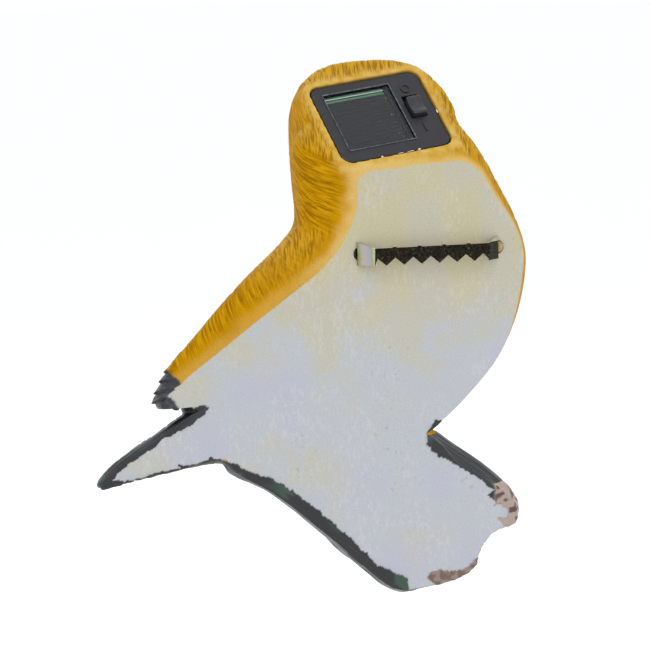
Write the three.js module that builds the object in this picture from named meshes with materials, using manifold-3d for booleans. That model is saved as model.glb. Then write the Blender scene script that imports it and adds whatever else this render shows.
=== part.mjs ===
// A solar-lit bird wall plaque: a cast resin songbird on a leafy branch, flat at the back,
// with a solar light module let into the back of its head and a sawtooth hanger behind it.
// Millimetres, +Z up. The front of the bird faces -Y, its flat back is the plane y = 0, and
// the origin is where the wall nail passes under the middle of the hanger.
import * as THREE from "three";
import { mergeVertices } from "three/addons/utils/BufferGeometryUtils.js";
import Module from "manifold-3d";

const wasm = await Module();
wasm.setup();

// ---------------------------------------------------------------- driving dimensions
const FIT = 0.3; // clearance between pieces that touch

// the solar light module
const BEZEL = { w: 50, h: 40, t: 3, r: 4.5, edge: 0.8 };
const WINDOW = { x: -5, y: 0.6, w: 30.4, h: 29.6, depth: 2.2 };
const TUB = { w: 45, h: 35, depth: 16, wall: 1.5, r: 3 };
const MODULE_AT = { x: 10.3, y: -18.2, z: 54.8 };
const MODULE_TILT = 41.6; // degrees the module leans back from the vertical
const MODULE_SPIN = 7; // degrees it is turned in its own plane
const RIM = 0.5; // how far the head's cut face stands proud of the bezel

// the slide switch
const TRAVEL = 2;
const KNOB = { x: 16.6, y: 0.9, w: 6.4, h: 9.2, rise: 2.8, taper: 0.5 };
const SLOT = { w: KNOB.w + 1, h: KNOB.h + TRAVEL + 0.6 };
const SWITCH_CAN = { w: 4, h: 8.6, t: 3.4 };
const BOARD = { w: 10, h: 19, t: 1.2, x: 15.6, y: 0.9, top: -8.6 };

// the cell that the panel charges
const CELL = { r: 5.1, length: 29, x: -5.4, y: -5.6, z: -11.4 };

// the lamps that light the eyes
const LAMP = { r: 2.5, length: 8.6, flange: 2.9, leg: 0.6, legs: 5, legApart: 2.54 };
const EYE = { apart: 32, z: 50, bore: 3.1 };
const WIRE = 0.65; // radius over the insulation

// the sawtooth hanger
const HANGER = { length: 50.6, height: 7.1, tooth: 3.05, pitch: 7.75, teeth: 6, t: 1, gap: 4.7 };
const HANGER_END = { reach: 4.9, height: 9.3, prong: 2.6, depth: 6, z: 2.7 };
const HANGER_ASIDE = -1; // the toothed run isn't quite midway between the ends
const HANGER_TURN = -2.6; // degrees that it is set out of level
const ANCHOR = { r: 2.6, aside: -0.7 };
const NAIL = { r: 1, x: 1.1, z: -2.85 }; // where the nail's axis comes on the bird

// ---------------------------------------------------------------- solids
// A closed three.js geometry as a manifold-3d solid, for joining and cutting.
function solid(geometry) {
  const bare = new THREE.BufferGeometry();
  bare.setAttribute("position", geometry.getAttribute("position"));
  if (geometry.index) bare.setIndex(geometry.index);
  const merged = mergeVertices(bare, 1e-4);
  return new wasm.Manifold(
    new wasm.Mesh({
      numProp: 3,
      vertProperties: merged.getAttribute("position").array,
      triVerts: new Uint32Array(merged.index.array),
    }),
  );
}

function geometryOf(body) {
  const mesh = body.getMesh();
  const stride = mesh.numProp;
  const points = new Float32Array(mesh.numVert * 3);
  for (let i = 0; i < mesh.numVert; i += 1) {
    points.set(mesh.vertProperties.subarray(i * stride, i * stride + 3), i * 3);
  }
  return new THREE.BufferGeometry()
    .setAttribute("position", new THREE.BufferAttribute(points, 3))
    .setIndex(new THREE.BufferAttribute(new Uint32Array(mesh.triVerts), 1));
}

const join = (...bodies) => bodies.reduce((a, b) => a.add(b));
const cut = (body, ...tools) => tools.reduce((a, b) => a.subtract(b), body);

function box(w, h, d, x = 0, y = 0, z = 0) {
  return new THREE.BoxGeometry(w, h, d).translate(x, y, z);
}

// A cylinder from one point to another.
function rod(from, to, radius, sides = 16, endRadius = radius) {
  const a = new THREE.Vector3(...from);
  const b = new THREE.Vector3(...to);
  const along = b.clone().sub(a);
  const turn = new THREE.Quaternion().setFromUnitVectors(
    new THREE.Vector3(0, 1, 0),
    along.clone().normalize(),
  );
  return new THREE.CylinderGeometry(endRadius, radius, along.length(), sides)
    .applyQuaternion(turn)
    .translate(...a.add(b).multiplyScalar(0.5).toArray());
}

function roundedRect(w, h, r) {
  const shape = new THREE.Shape();
  shape.moveTo(-w / 2 + r, -h / 2);
  shape.lineTo(w / 2 - r, -h / 2);
  shape.absarc(w / 2 - r, -h / 2 + r, r, -Math.PI / 2, 0);
  shape.absarc(w / 2 - r, h / 2 - r, r, 0, Math.PI / 2);
  shape.absarc(-w / 2 + r, h / 2 - r, r, Math.PI / 2, Math.PI);
  shape.absarc(-w / 2 + r, -h / 2 + r, r, Math.PI, Math.PI * 1.5);
  return shape;
}

// A plate with rounded corners between two heights of the module's own frame.
function plate(w, h, r, low, high, x = 0, y = 0) {
  return new THREE.ExtrudeGeometry(roundedRect(w, h, r), {
    depth: high - low,
    bevelEnabled: false,
    curveSegments: 5,
  }).translate(x, y, low);
}

// A round wire along a smooth route.
function wireAlong(route, radius = WIRE) {
  const curve = new THREE.CatmullRomCurve3(route.map((p) => new THREE.Vector3(...p)));
  const section = new THREE.Shape().absarc(0, 0, radius, 0, Math.PI * 2);
  return new THREE.ExtrudeGeometry(section, {
    steps: Math.max(6, Math.ceil(curve.getLength() / (5 * radius))),
    curveSegments: 4,
    extrudePath: curve,
    bevelEnabled: false,
  });
}

// ---------------------------------------------------------------- relief shapes
// A relief is an outline on the back plane that swells to a wider outline a little way in and
// then rounds over towards the front. Each row gives a point of the back outline and the point
// of the wide outline that it swells to, as x, z, x, z.
function relief({ rows, wideDepth, depth, centre, samples, thin = () => 1, power = 0.75 }) {
  const closed = (index) =>
    new THREE.CatmullRomCurve3(
      rows.map((r) => new THREE.Vector3(r[index], r[index + 1], 0)),
      true,
      "centripetal",
    );
  const backCurve = closed(0);
  const wideCurve = closed(2);
  const back = [];
  const wide = [];
  for (let i = 0; i < samples; i += 1) {
    back.push(backCurve.getPoint(i / samples));
    wide.push(wideCurve.getPoint(i / samples));
  }
  const key = (x, y) => `${Math.fround(x)} ${Math.fround(y)}`;
  const indexOf = new Map(back.map((p, i) => [key(p.x, p.y), i]));

  const sideRings = 4;
  const frontRings = 9;
  const rings = [];
  for (let k = 0; k <= sideRings; k += 1) {
    const t = k / sideRings;
    rings.push({ y: wideDepth * t, swell: Math.sin((t * Math.PI) / 2), scale: 1 });
  }
  for (let k = 1; k <= frontRings; k += 1) {
    const angle = ((k / frontRings) * 86 * Math.PI) / 180;
    rings.push({
      y: wideDepth + (depth - wideDepth) * Math.sin(angle),
      swell: 1,
      scale: Math.cos(angle) ** power,
    });
  }

  const geometry = new THREE.ExtrudeGeometry(new THREE.Shape(back), {
    depth: rings.length - 1,
    steps: rings.length - 1,
    bevelEnabled: false,
  });
  const points = geometry.getAttribute("position");
  for (let i = 0; i < points.count; i += 1) {
    const at = indexOf.get(key(points.getX(i), points.getY(i)));
    const ring = rings[Math.round(points.getZ(i))];
    const x = THREE.MathUtils.lerp(back[at].x, wide[at].x, ring.swell);
    const z = THREE.MathUtils.lerp(back[at].y, wide[at].y, ring.swell);
    points.setXYZ(
      i,
      centre.x + (x - centre.x) * ring.scale,
      centre.z + (z - centre.z) * ring.scale,
      ring.y * thin(wide[at].x),
    );
  }
  return geometry.rotateX(Math.PI / 2);
}

// A sphere whose corners are squared off: exponent 2 is an ellipsoid, and more is boxier.
function squaredBall(centre, radii, exponent) {
  const geometry = new THREE.SphereGeometry(1, 32, 20);
  const points = geometry.getAttribute("position");
  for (let i = 0; i < points.count; i += 1) {
    const p = new THREE.Vector3().fromBufferAttribute(points, i);
    const sum = Math.abs(p.x) ** exponent + Math.abs(p.y) ** exponent + Math.abs(p.z) ** exponent;
    p.divideScalar(sum ** (1 / exponent));
    points.setXYZ(
      i,
      centre[0] + p.x * radii[0],
      centre[1] + p.y * radii[1],
      centre[2] + p.z * radii[2],
    );
  }
  return geometry;
}

// A pointed leaf lying in the xz plane, from its stalk at the origin along +x.
function leaf(length, width, thickness) {
  const shape = new THREE.Shape();
  shape.moveTo(0, 0);
  shape.bezierCurveTo(length * 0.2, width * 0.62, length * 0.65, width * 0.62, length, 0);
  shape.bezierCurveTo(length * 0.65, -width * 0.62, length * 0.2, -width * 0.62, 0, 0);
  return new THREE.ExtrudeGeometry(shape, {
    depth: thickness,
    curveSegments: 8,
    bevelEnabled: true,
    bevelThickness: 1.2,
    bevelSize: 1.2,
    bevelSegments: 2,
  }).rotateX(Math.PI / 2);
}

// ---------------------------------------------------------------- the module's place
const parts = new THREE.Group();
const moduleFrame = new THREE.Group();
moduleFrame.position.set(MODULE_AT.x, MODULE_AT.y, MODULE_AT.z);
const tilt = THREE.MathUtils.degToRad(MODULE_TILT);
const outward = new THREE.Vector3(0, Math.cos(tilt), Math.sin(tilt));
const upslope = new THREE.Vector3(0, -Math.sin(tilt), Math.cos(tilt));
const across = new THREE.Vector3().crossVectors(upslope, outward);
moduleFrame.quaternion
  .setFromRotationMatrix(new THREE.Matrix4().makeBasis(across, upslope, outward))
  .multiply(
    new THREE.Quaternion().setFromAxisAngle(
      new THREE.Vector3(0, 0, 1),
      THREE.MathUtils.degToRad(MODULE_SPIN),
    ),
  );
moduleFrame.updateMatrix();
parts.add(moduleFrame);

const inModule = (geometry) => geometry.clone().applyMatrix4(moduleFrame.matrix);

// ---------------------------------------------------------------- materials
function material(color, roughness, metalness = 0) {
  return new THREE.MeshStandardMaterial({ color, roughness, metalness });
}
const RESIN = material(0xd9a514, 0.55);
const BLACK_ABS = material(0x2b2b31, 0.5);
const BLACK_KNOB = material(0x222225, 0.45);
const GREEN_BOARD = material(0x2f6a4a, 0.4);
const SILICON = material(0x35353a, 0.25, 0.3);
const TINNED = material(0xb9bdb8, 0.3, 1);
const EPOXY = material(0x8a9488, 0.15);
const STEEL = material(0xa8a59a, 0.35, 1);
const ZINC = material(0x8f8a6a, 0.35, 1);
const PHENOLIC = material(0x8a5a2c, 0.7);
const CHIP_BLACK = material(0x17171a, 0.5);
const FERRITE = material(0x5c8f63, 0.5);
const SLEEVE = material(0x2f8f57, 0.4);
const RED_PVC = material(0xb3241c, 0.5);
const BLACK_PVC = material(0x1b1b1d, 0.5);
const LAMP_EPOXY = material(0xf2ead2, 0.12);
const SILICONE = material(0xd9d9d2, 0.4);
const CEMENT = material(0xb59c6a, 0.6);

function add(name, made, look, parent = parts) {
  const mesh = new THREE.Mesh(made.isBufferGeometry ? made : geometryOf(made), look);
  mesh.name = name;
  parent.add(mesh);
  return mesh;
}

// ---------------------------------------------------------------- the resin casting
const HEAD = { centre: [9.5, -30, 40], radii: [34.5, 28, 38], square: 3 };
const BODY_CENTRE = { x: 18, z: -14 };
const BODY_DEPTH = 50;

const bird = relief({
  rows: [
    [-12, 36, -21, 51],
    [-24, 31, -32, 37],
    [-31, 20, -40, 21],
    [-38, 9, -46, 7],
    [-42.5, -3, -49, -6],
    [-41.5, -15, -48, -17.5],
    [-37, -32, -42.5, -34.5],
    [-30, -46, -33.5, -48.5],
    [-20, -57, -22.5, -59.5],
    [4, -75, 1, -76.5],
    [40, -84, 40, -84],
    [78, -72, 78, -72],
    [99, -55.5, 101, -57.5],
    [114, -51.5, 115.5, -52.5],
    [109, -44.5, 114, -41],
    [90, -32, 98, -25.5],
    [76, -23, 85.5, -14.5],
    [60, -13, 72, -4],
    [45, -3, 58.5, 5.5],
    [35, 8, 49.5, 15],
    [29, 20, 49.5, 34],
    [27, 32, 48, 50],
    [8, 34, 14, 58],
  ],
  wideDepth: 15,
  depth: BODY_DEPTH,
  centre: BODY_CENTRE,
  samples: 84,
  thin: (x) => 1 - 0.55 * THREE.MathUtils.smoothstep(x, 40, 118),
});
const head = squaredBall(HEAD.centre, HEAD.radii, HEAD.square);
const breast = squaredBall([-4, -27, -16], [41, 30, 44], 2.2);

const tail = relief({
  rows: [
    [70, -60, 70, -60],
    [98, -54.5, 100, -54.5],
    [120, -65, 120, -63.5],
    [140, -76.5, 139.5, -74.5],
    [144, -81.5, 145, -81.5],
    [130, -79.5, 131, -81],
    [111, -77.5, 111, -79],
    [97, -75, 96, -78],
    [70, -78, 70, -78],
  ],
  wideDepth: 4,
  depth: 12,
  centre: { x: 104, z: -68 },
  samples: 36,
  power: 0.6,
});

const perch = relief({
  rows: [
    [4, -77, 4, -73],
    [-8, -90, -9, -82],
    [-23, -102, -27, -96.5],
    [-33, -111, -37.5, -109],
    [-33, -118, -36.5, -119.5],
    [-24, -120.5, -26, -122],
    [-17, -127, -19, -128.5],
    [-13, -135, -15.5, -136.5],
    [-2, -139, -4, -141],
    [11, -140, 9, -142],
    [21, -139.5, 19, -142.5],
    [34, -129, 33.5, -131],
    [52, -111, 51, -113],
    [74, -91, 73.5, -92.5],
    [90, -79, 91, -81],
    [92, -66, 92, -66],
    [50, -62, 50, -62],
  ],
  wideDepth: 8,
  depth: 26,
  centre: { x: 26, z: -100 },
  samples: 60,
  thin: (x) => 1 - 0.35 * THREE.MathUtils.smoothstep(x, 40, 95),
  power: 0.6,
});

// The folded wing, the bill, and the branch with its leaves stand out from the front.
const wing = new THREE.SphereGeometry(1, 28, 16)
  .scale(50, 12, 15)
  .rotateY(THREE.MathUtils.degToRad(35))
  .translate(58, -32, -23);
const [headX] = HEAD.centre;
const bill = rod([headX, -50, 37], [headX, -73, 30], 7.5, 16, 1.2);
const branch = join(
  solid(rod([84, -18, -73], [34, -25, -96], 7, 12, 10)),
  solid(rod([38, -25, -95], [-29, -14, -116], 10, 12, 6.5)),
  solid(rod([20, -24, -100], [3, -13, -136], 8, 12, 6)),
);
const LEAVES = [
  { at: [60, -14, -84], turn: 140, length: 72, width: 30, lift: 0 },
  { at: [30, -26, -100], turn: 172, length: 60, width: 24, lift: 6 },
  { at: [40, -28, -92], turn: 110, length: 44, width: 22, lift: -8 },
];
const leaves = LEAVES.map(({ at, turn, length, width, lift }) =>
  solid(
    leaf(length, width, 3)
      .rotateX(THREE.MathUtils.degToRad(lift))
      .rotateY(THREE.MathUtils.degToRad(turn))
      .translate(...at),
  ),
);
const toes = [];
for (const footX of [2, 34]) {
  for (const spread of [-7, 0, 7]) {
    const top = [footX + spread * 0.4, -34, -82 - footX * 0.06];
    const tip = [footX + spread, -33, -101 - footX * 0.06];
    toes.push(solid(rod(top, tip, 3.2, 8, 2)));
  }
  toes.push(solid(rod([footX, -28, -66], [footX, -33, -84], 4, 8, 3.2)));
}

const BIG = 400;
const behindBack = solid(box(BIG, BIG, BIG, 0, BIG / 2, 0));
const behindHead = solid(inModule(box(BIG, BIG, BIG, 0, 0, BIG / 2 + RIM)));

// The pocket takes the bezel's flange, then the tub, with a mouth in its floor for the wires.
const POCKET_GAP = 0.5;
const TUB_TOP = -BEZEL.t - FIT;
const TUB_FLOOR = TUB_TOP - TUB.depth;
const POCKET_FLOOR = TUB_FLOOR - 1;
const BEAD = { width: 1.6, t: 0.9 };
const SEAT = -BEZEL.t - BEAD.t - 2 * FIT;
const flangeSeat = inModule(
  plate(BEZEL.w + 2 * POCKET_GAP, BEZEL.h + 2 * POCKET_GAP, BEZEL.r + POCKET_GAP, SEAT, 10),
);
const tubPocket = inModule(
  plate(TUB.w + 2 * POCKET_GAP, TUB.h + 2 * POCKET_GAP, TUB.r + POCKET_GAP, POCKET_FLOOR, SEAT + 1),
);

// Each eye is a bore from the face to the pocket, stepped for the lamp's flange.
const eyes = [-1, 1].map((side) => {
  const x = HEAD.centre[0] + (side * EYE.apart) / 2;
  const tip = [x, -57.5, EYE.z];
  const rear = [x - side * 4, tip[1] + LAMP.length, EYE.z - 1.5];
  const axis = new THREE.Vector3(...tip).sub(new THREE.Vector3(...rear)).normalize();
  const along = (amount) => new THREE.Vector3(...rear).addScaledVector(axis, amount).toArray();
  return { side, axis, along };
});

// Where an eye's line passes through a level of the module's own frame.
const intoModule = moduleFrame.matrix.clone().invert();
function crossing({ axis, along }, level) {
  const start = new THREE.Vector3(...along(0)).applyMatrix4(intoModule);
  const direction = axis.clone().transformDirection(intoModule);
  const distance = (level - start.z) / direction.z;
  return { distance, at: start.addScaledVector(direction, distance) };
}
const FLOOR_TOP = TUB_FLOOR + TUB.wall;
const eyeBores = eyes.flatMap((eye) => [
  solid(rod(eye.along(-2), eye.along(24), LAMP.r + FIT)),
  solid(rod(eye.along(crossing(eye, FLOOR_TOP).distance), eye.along(0), EYE.bore + FIT)),
]);

const hangerFrame = new THREE.Group();
hangerFrame.position.set(NAIL.x, 0, NAIL.z);
hangerFrame.rotation.y = THREE.MathUtils.degToRad(HANGER_TURN);
hangerFrame.updateMatrix();
parts.add(hangerFrame);
const endX = (side) => HANGER_ASIDE + side * (HANGER.length / 2 + HANGER_END.reach);
const anchorHoles = [-1, 1].map((side) => {
  const x = endX(side) + ANCHOR.aside;
  const bottom = -HANGER_END.depth - 1.2;
  const hole = rod([x, 1, HANGER_END.z], [x, bottom, HANGER_END.z], ANCHOR.r + FIT);
  return solid(hole.applyMatrix4(hangerFrame.matrix));
});

const casting = cut(
  join(
    solid(bird),
    solid(head),
    solid(breast),
    solid(tail),
    solid(perch),
    solid(wing),
    solid(bill),
    branch,
    ...leaves,
    ...toes,
  ),
  behindBack,
  behindHead,
  solid(flangeSeat),
  solid(tubPocket),
  ...eyeBores,
  ...anchorHoles,
);
add("resin_casting", casting, RESIN);

// ---------------------------------------------------------------- module housing
const screwPlaces = [
  [-18.4, 13.4],
  [18.4, 13.4],
  [-18.4, -13.4],
  [18.4, -13.4],
];
const BOSS_R = 2.2;
const SCREW = { r: 1, head: 1.9, headT: 1.2, length: 6.5 };
const slotY = KNOB.y + TRAVEL / 2;

const bezelPlate = new THREE.ExtrudeGeometry(
  roundedRect(BEZEL.w - 2 * BEZEL.edge, BEZEL.h - 2 * BEZEL.edge, BEZEL.r - BEZEL.edge),
  {
    depth: BEZEL.t - BEZEL.edge,
    bevelEnabled: true,
    bevelThickness: BEZEL.edge,
    bevelSize: BEZEL.edge,
    bevelSegments: 2,
    curveSegments: 5,
  },
).translate(0, 0, -BEZEL.t);
const belowFlange = box(60, 60, 10, 0, 0, -BEZEL.t - 5);
const bezelBosses = screwPlaces.map(([x, y]) =>
  solid(rod([x, y, -BEZEL.t - 5], [x, y, -1.5], BOSS_R, 12)),
);
const pilots = screwPlaces.map(([x, y]) =>
  solid(rod([x, y, -BEZEL.t - 6], [x, y, -BEZEL.t - 0.6], SCREW.r + FIT / 2, 10)),
);
// Raised marks beside the switch: a ring for off above it and a bar for on below it.
const MARK = { rise: 0.35, off: 11.6, on: -9.2 };
const offMark = new THREE.LatheGeometry(
  [
    [1.5, -0.5],
    [2.2, -0.5],
    [2.2, MARK.rise],
    [1.5, MARK.rise],
    [1.5, -0.5],
  ].map(([r, z]) => new THREE.Vector2(r, z)),
  20,
)
  .rotateX(Math.PI / 2)
  .translate(KNOB.x, MARK.off, 0);
const onMark = box(0.8, 4.4, MARK.rise + 0.5, KNOB.x, MARK.on, (MARK.rise - 0.5) / 2);
const bezel = cut(
  join(
    cut(solid(bezelPlate), solid(belowFlange)),
    ...bezelBosses,
    solid(offMark),
    solid(onMark),
  ),
  solid(box(WINDOW.w, WINDOW.h, WINDOW.depth * 2, WINDOW.x, WINDOW.y, 0)),
  solid(box(SLOT.w, SLOT.h, 20, KNOB.x, slotY, 0)),
  solid(box(6, 3, 10, WINDOW.x + 8, WINDOW.y + 11.5, -3)),
  ...pilots,
);
add("module_bezel", bezel, BLACK_ABS, moduleFrame);

const tubInside = plate(
  TUB.w - 2 * TUB.wall,
  TUB.h - 2 * TUB.wall,
  TUB.r - TUB.wall,
  TUB_FLOOR + TUB.wall,
  5,
);
const postTop = -BEZEL.t - 5 - FIT;
const posts = screwPlaces.map(([x, y]) =>
  solid(rod([x, y, TUB_FLOOR + 0.2], [x, y, postTop], BOSS_R + 0.2, 12)),
);
const counterbores = screwPlaces.flatMap(([x, y]) => [
  solid(rod([x, y, TUB_FLOOR - 1], [x, y, postTop - 3], SCREW.head + FIT, 12)),
  solid(rod([x, y, TUB_FLOOR - 1], [x, y, 5], SCREW.r + FIT, 10)),
]);
const mouthEdge = LAMP.legApart / 2 + WIRE + 4 * FIT;
const mouth = new THREE.Box3();
for (const eye of eyes) {
  for (const level of [TUB_FLOOR, FLOOR_TOP]) mouth.expandByPoint(crossing(eye, level).at);
}
mouth.expandByVector(new THREE.Vector3(mouthEdge, mouthEdge, TUB.wall));
const mouthSize = mouth.getSize(new THREE.Vector3()).toArray();
const mouthCentre = mouth.getCenter(new THREE.Vector3()).toArray();
const wireMouth = solid(box(...mouthSize, ...mouthCentre));
const tub = cut(
  join(
    cut(solid(plate(TUB.w, TUB.h, TUB.r, TUB_FLOOR, TUB_TOP)), solid(tubInside)),
    ...posts,
  ),
  ...counterbores,
  wireMouth,
);
add("module_tub", tub, BLACK_ABS, moduleFrame);

screwPlaces.forEach(([x, y], i) => {
  const seat = postTop - 3;
  const headTop = seat - FIT;
  const screw = cut(
    join(
      solid(rod([x, y, headTop - SCREW.headT], [x, y, headTop], SCREW.head - 0.1, 12)),
      solid(rod([x, y, headTop - 0.5], [x, y, headTop + SCREW.length], SCREW.r - 0.15, 10)),
    ),
    solid(box(2.4, 0.6, 1.2, x, y, headTop - SCREW.headT)),
    solid(box(0.6, 2.4, 1.2, x, y, headTop - SCREW.headT)),
  );
  add(`tub_screw_${i + 1}`, screw, STEEL, moduleFrame);
});

const bead = cut(
  solid(
    plate(BEZEL.w - 0.6, BEZEL.h - 0.6, BEZEL.r - 0.3, SEAT + FIT, SEAT + FIT + BEAD.t),
  ),
  solid(
    plate(
      BEZEL.w - 0.6 - 2 * BEAD.width,
      BEZEL.h - 0.6 - 2 * BEAD.width,
      BEZEL.r - 1.5,
      SEAT - 1,
      SEAT + 3,
    ),
  ),
);
add("sealant_bead", bead, SILICONE, moduleFrame);

// ---------------------------------------------------------------- solar panel
const PANEL = { w: WINDOW.w - 2 * FIT, h: WINDOW.h - 2 * FIT, t: 0.6, gap: 0.2 };
const GREEN_STRIP = 3.4;
const WAFER = { w: 27, h: PANEL.h - GREEN_STRIP - 0.4, t: 0.3 };
const panelBottom = -WINDOW.depth + FIT;
const panelTop = panelBottom + PANEL.t;
add(
  "solar_board",
  box(PANEL.w, PANEL.h, PANEL.t, WINDOW.x, WINDOW.y, (panelBottom + panelTop) / 2),
  GREEN_BOARD,
  moduleFrame,
);
const waferX = WINDOW.x - (PANEL.w - WAFER.w) / 2 + 0.2;
const waferY = WINDOW.y - (PANEL.h - WAFER.h) / 2 + 0.2;
const waferLow = panelTop + PANEL.gap;
add(
  "silicon_wafer",
  box(WAFER.w, WAFER.h, WAFER.t, waferX, waferY, waferLow + WAFER.t / 2),
  SILICON,
  moduleFrame,
);
const ribbonY = WINDOW.y + PANEL.h / 2 - GREEN_STRIP / 2;
add(
  "cell_ribbon",
  box(WAFER.w, 0.5, 0.2, waferX, ribbonY, panelTop + PANEL.gap + 0.1),
  TINNED,
  moduleFrame,
);
const coverLow = waferLow + WAFER.t + PANEL.gap;
add(
  "panel_cover",
  new THREE.ExtrudeGeometry(roundedRect(PANEL.w - 0.6, PANEL.h - 0.6, 0.4), {
    depth: 0.15,
    bevelEnabled: true,
    bevelThickness: 0.12,
    bevelSize: 0.25,
    bevelSegments: 2,
    curveSegments: 2,
  }).translate(WINDOW.x, WINDOW.y, coverLow + 0.12),
  EPOXY,
  moduleFrame,
);

// ---------------------------------------------------------------- slide switch
const canTop = BOARD.top + FIT + SWITCH_CAN.t;
const STEM = { w: 2, h: 3 };
const switchBaseTop = BOARD.top + FIT + 0.9;
const contactTop = switchBaseTop + FIT + 0.35;
const knobCap = new THREE.ExtrudeGeometry(
  roundedRect(KNOB.w - 2 * KNOB.taper, KNOB.h - 2 * KNOB.taper, 0.4),
  {
    depth: KNOB.rise + 1.2,
    bevelEnabled: true,
    bevelThickness: 0.5,
    bevelSize: KNOB.taper,
    bevelSegments: 2,
    curveSegments: 2,
  },
).translate(KNOB.x, KNOB.y, -1.7);
const flangeLow = -BEZEL.t - FIT - 1;
const knobFlange = box(SLOT.w + 0.8, SLOT.h + TRAVEL + 1, 0.8, KNOB.x, KNOB.y, flangeLow + 0.5);
const stemLow = contactTop + FIT;
const stemHigh = flangeLow + 0.5;
const knobStem = box(
  STEM.w,
  STEM.h,
  stemHigh - stemLow,
  KNOB.x,
  KNOB.y,
  (stemLow + stemHigh) / 2,
);
const knobNeck = box(KNOB.w - 1, KNOB.h - 1, 3, KNOB.x, KNOB.y, -2.4);
const thumbScoop = rod(
  [KNOB.x - KNOB.w, KNOB.y, KNOB.rise + 7.2],
  [KNOB.x + KNOB.w, KNOB.y, KNOB.rise + 7.2],
  8,
  32,
);
const knob = cut(
  join(solid(knobCap), solid(knobFlange), solid(knobStem), solid(knobNeck)),
  solid(thumbScoop),
);
add("switch_knob", knob, BLACK_KNOB, moduleFrame);

const canWall = 0.4;
const switchY = KNOB.y + TRAVEL / 2;
const can = cut(
  solid(
    box(SWITCH_CAN.w, SWITCH_CAN.h, SWITCH_CAN.t, KNOB.x, switchY, canTop - SWITCH_CAN.t / 2),
  ),
  solid(
    box(
      SWITCH_CAN.w - 2 * canWall,
      SWITCH_CAN.h - 2 * canWall,
      SWITCH_CAN.t,
      KNOB.x,
      switchY,
      canTop - SWITCH_CAN.t / 2 - canWall,
    ),
  ),
  solid(box(STEM.w + 0.6, STEM.h + TRAVEL + 0.6, 4, KNOB.x, switchY, canTop)),
);
add("switch_can", can, STEEL, moduleFrame);
add(
  "switch_base",
  box(
    SWITCH_CAN.w - 2 * canWall - 2 * FIT,
    SWITCH_CAN.h - 2 * canWall - 2 * FIT,
    0.9,
    KNOB.x,
    switchY,
    switchBaseTop - 0.45,
  ),
  PHENOLIC,
  moduleFrame,
);
add(
  "switch_contact",
  box(1.6, 2.4, 0.35, KNOB.x, KNOB.y, contactTop - 0.175),
  TINNED,
  moduleFrame,
);

// ---------------------------------------------------------------- circuit board
const boardLow = BOARD.top - BOARD.t;
const pinSpacing = 2.5;
const pinPlaces = [-1, 0, 1].map((i) => [KNOB.x, switchY + i * pinSpacing]);
const board = cut(
  solid(box(BOARD.w, BOARD.h, BOARD.t, BOARD.x, BOARD.y, BOARD.top - BOARD.t / 2)),
  ...pinPlaces.map(([x, y]) => solid(rod([x, y, boardLow - 1], [x, y, BOARD.top + 1], 0.65, 10))),
);
add("circuit_board", board, PHENOLIC, moduleFrame);
pinPlaces.forEach(([x, y], i) => {
  add(
    `switch_pin_${i + 1}`,
    box(0.5, 0.5, 2.6, x, y, BOARD.top - 1.3),
    TINNED,
    moduleFrame,
  );
});
const chip = join(
  solid(box(4.2, 3.2, 1.5, BOARD.x - 2.4, BOARD.y + 5, boardLow - FIT - 1.35)),
  ...[-1.5, -0.5, 0.5, 1.5].map((dx) =>
    solid(box(0.4, 1.6, 0.3, BOARD.x - 2.4 + dx, BOARD.y + 2.8, boardLow - FIT - 1.2)),
  ),
);
add("driver_chip", chip, CHIP_BLACK, moduleFrame);
const coilZ = boardLow - FIT - 1.6;
const coil = join(
  solid(
    new THREE.CapsuleGeometry(1.4, 4, 4, 12)
      .rotateZ(Math.PI / 2)
      .translate(BOARD.x, BOARD.y - 4, coilZ),
  ),
  solid(rod([BOARD.x - 4.4, BOARD.y - 4, coilZ], [BOARD.x + 4.4, BOARD.y - 4, coilZ], 0.3, 8)),
);
add("inductor", coil, FERRITE, moduleFrame);

// ---------------------------------------------------------------- rechargeable cell
const cellFrom = CELL.x - CELL.length / 2;
const cellTo = CELL.x + CELL.length / 2;
const cell = new THREE.LatheGeometry(
  [
    [0, 0],
    [CELL.r - 0.6, 0],
    [CELL.r - 0.5, 0.4],
    [CELL.r, 0.8],
    [CELL.r, CELL.length - 2.4],
    [CELL.r - 0.6, CELL.length - 1.8],
    [CELL.r - 1.4, CELL.length - 1.8],
    [CELL.r - 1.4, CELL.length - 1.5],
    [1.9, CELL.length - 1.5],
    [1.8, CELL.length],
    [0, CELL.length],
  ].map(([r, y]) => new THREE.Vector2(r, y)),
  24,
)
  .rotateZ(-Math.PI / 2)
  .translate(cellFrom, CELL.y, CELL.z);
add("nimh_cell", cell, SLEEVE, moduleFrame);
const contactW = 9.6;
add(
  "cell_contact_plus",
  box(0.5, contactW, contactW, cellTo + FIT + 0.25, CELL.y, CELL.z),
  TINNED,
  moduleFrame,
);
add(
  "cell_contact_minus",
  box(0.5, contactW, contactW, cellFrom - FIT - 0.25, CELL.y, CELL.z),
  TINNED,
  moduleFrame,
);

// ---------------------------------------------------------------- wires inside the module
const boardEdge = BOARD.x - BOARD.w / 2;
const underBoard = boardLow - FIT - WIRE;
add(
  "solar_wire_red",
  wireAlong([
    [WINDOW.x + 7, WINDOW.y + 11.5, panelBottom - FIT - WIRE - 0.1],
    [WINDOW.x + 7, WINDOW.y + 11, -5.5],
    [boardEdge - 3, BOARD.y + 3, -8],
    [boardEdge - 1, BOARD.y + 3, BOARD.top - 0.6],
  ]),
  RED_PVC,
  moduleFrame,
);
add(
  "solar_wire_black",
  wireAlong([
    [WINDOW.x + 9.4, WINDOW.y + 11.5, panelBottom - FIT - WIRE - 0.1],
    [WINDOW.x + 9.6, WINDOW.y + 11, -5.2],
    [boardEdge - 2.2, BOARD.y + 7, -7.6],
    [boardEdge - 1, BOARD.y + 7, BOARD.top - 0.6],
  ]),
  BLACK_PVC,
  moduleFrame,
);
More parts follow.
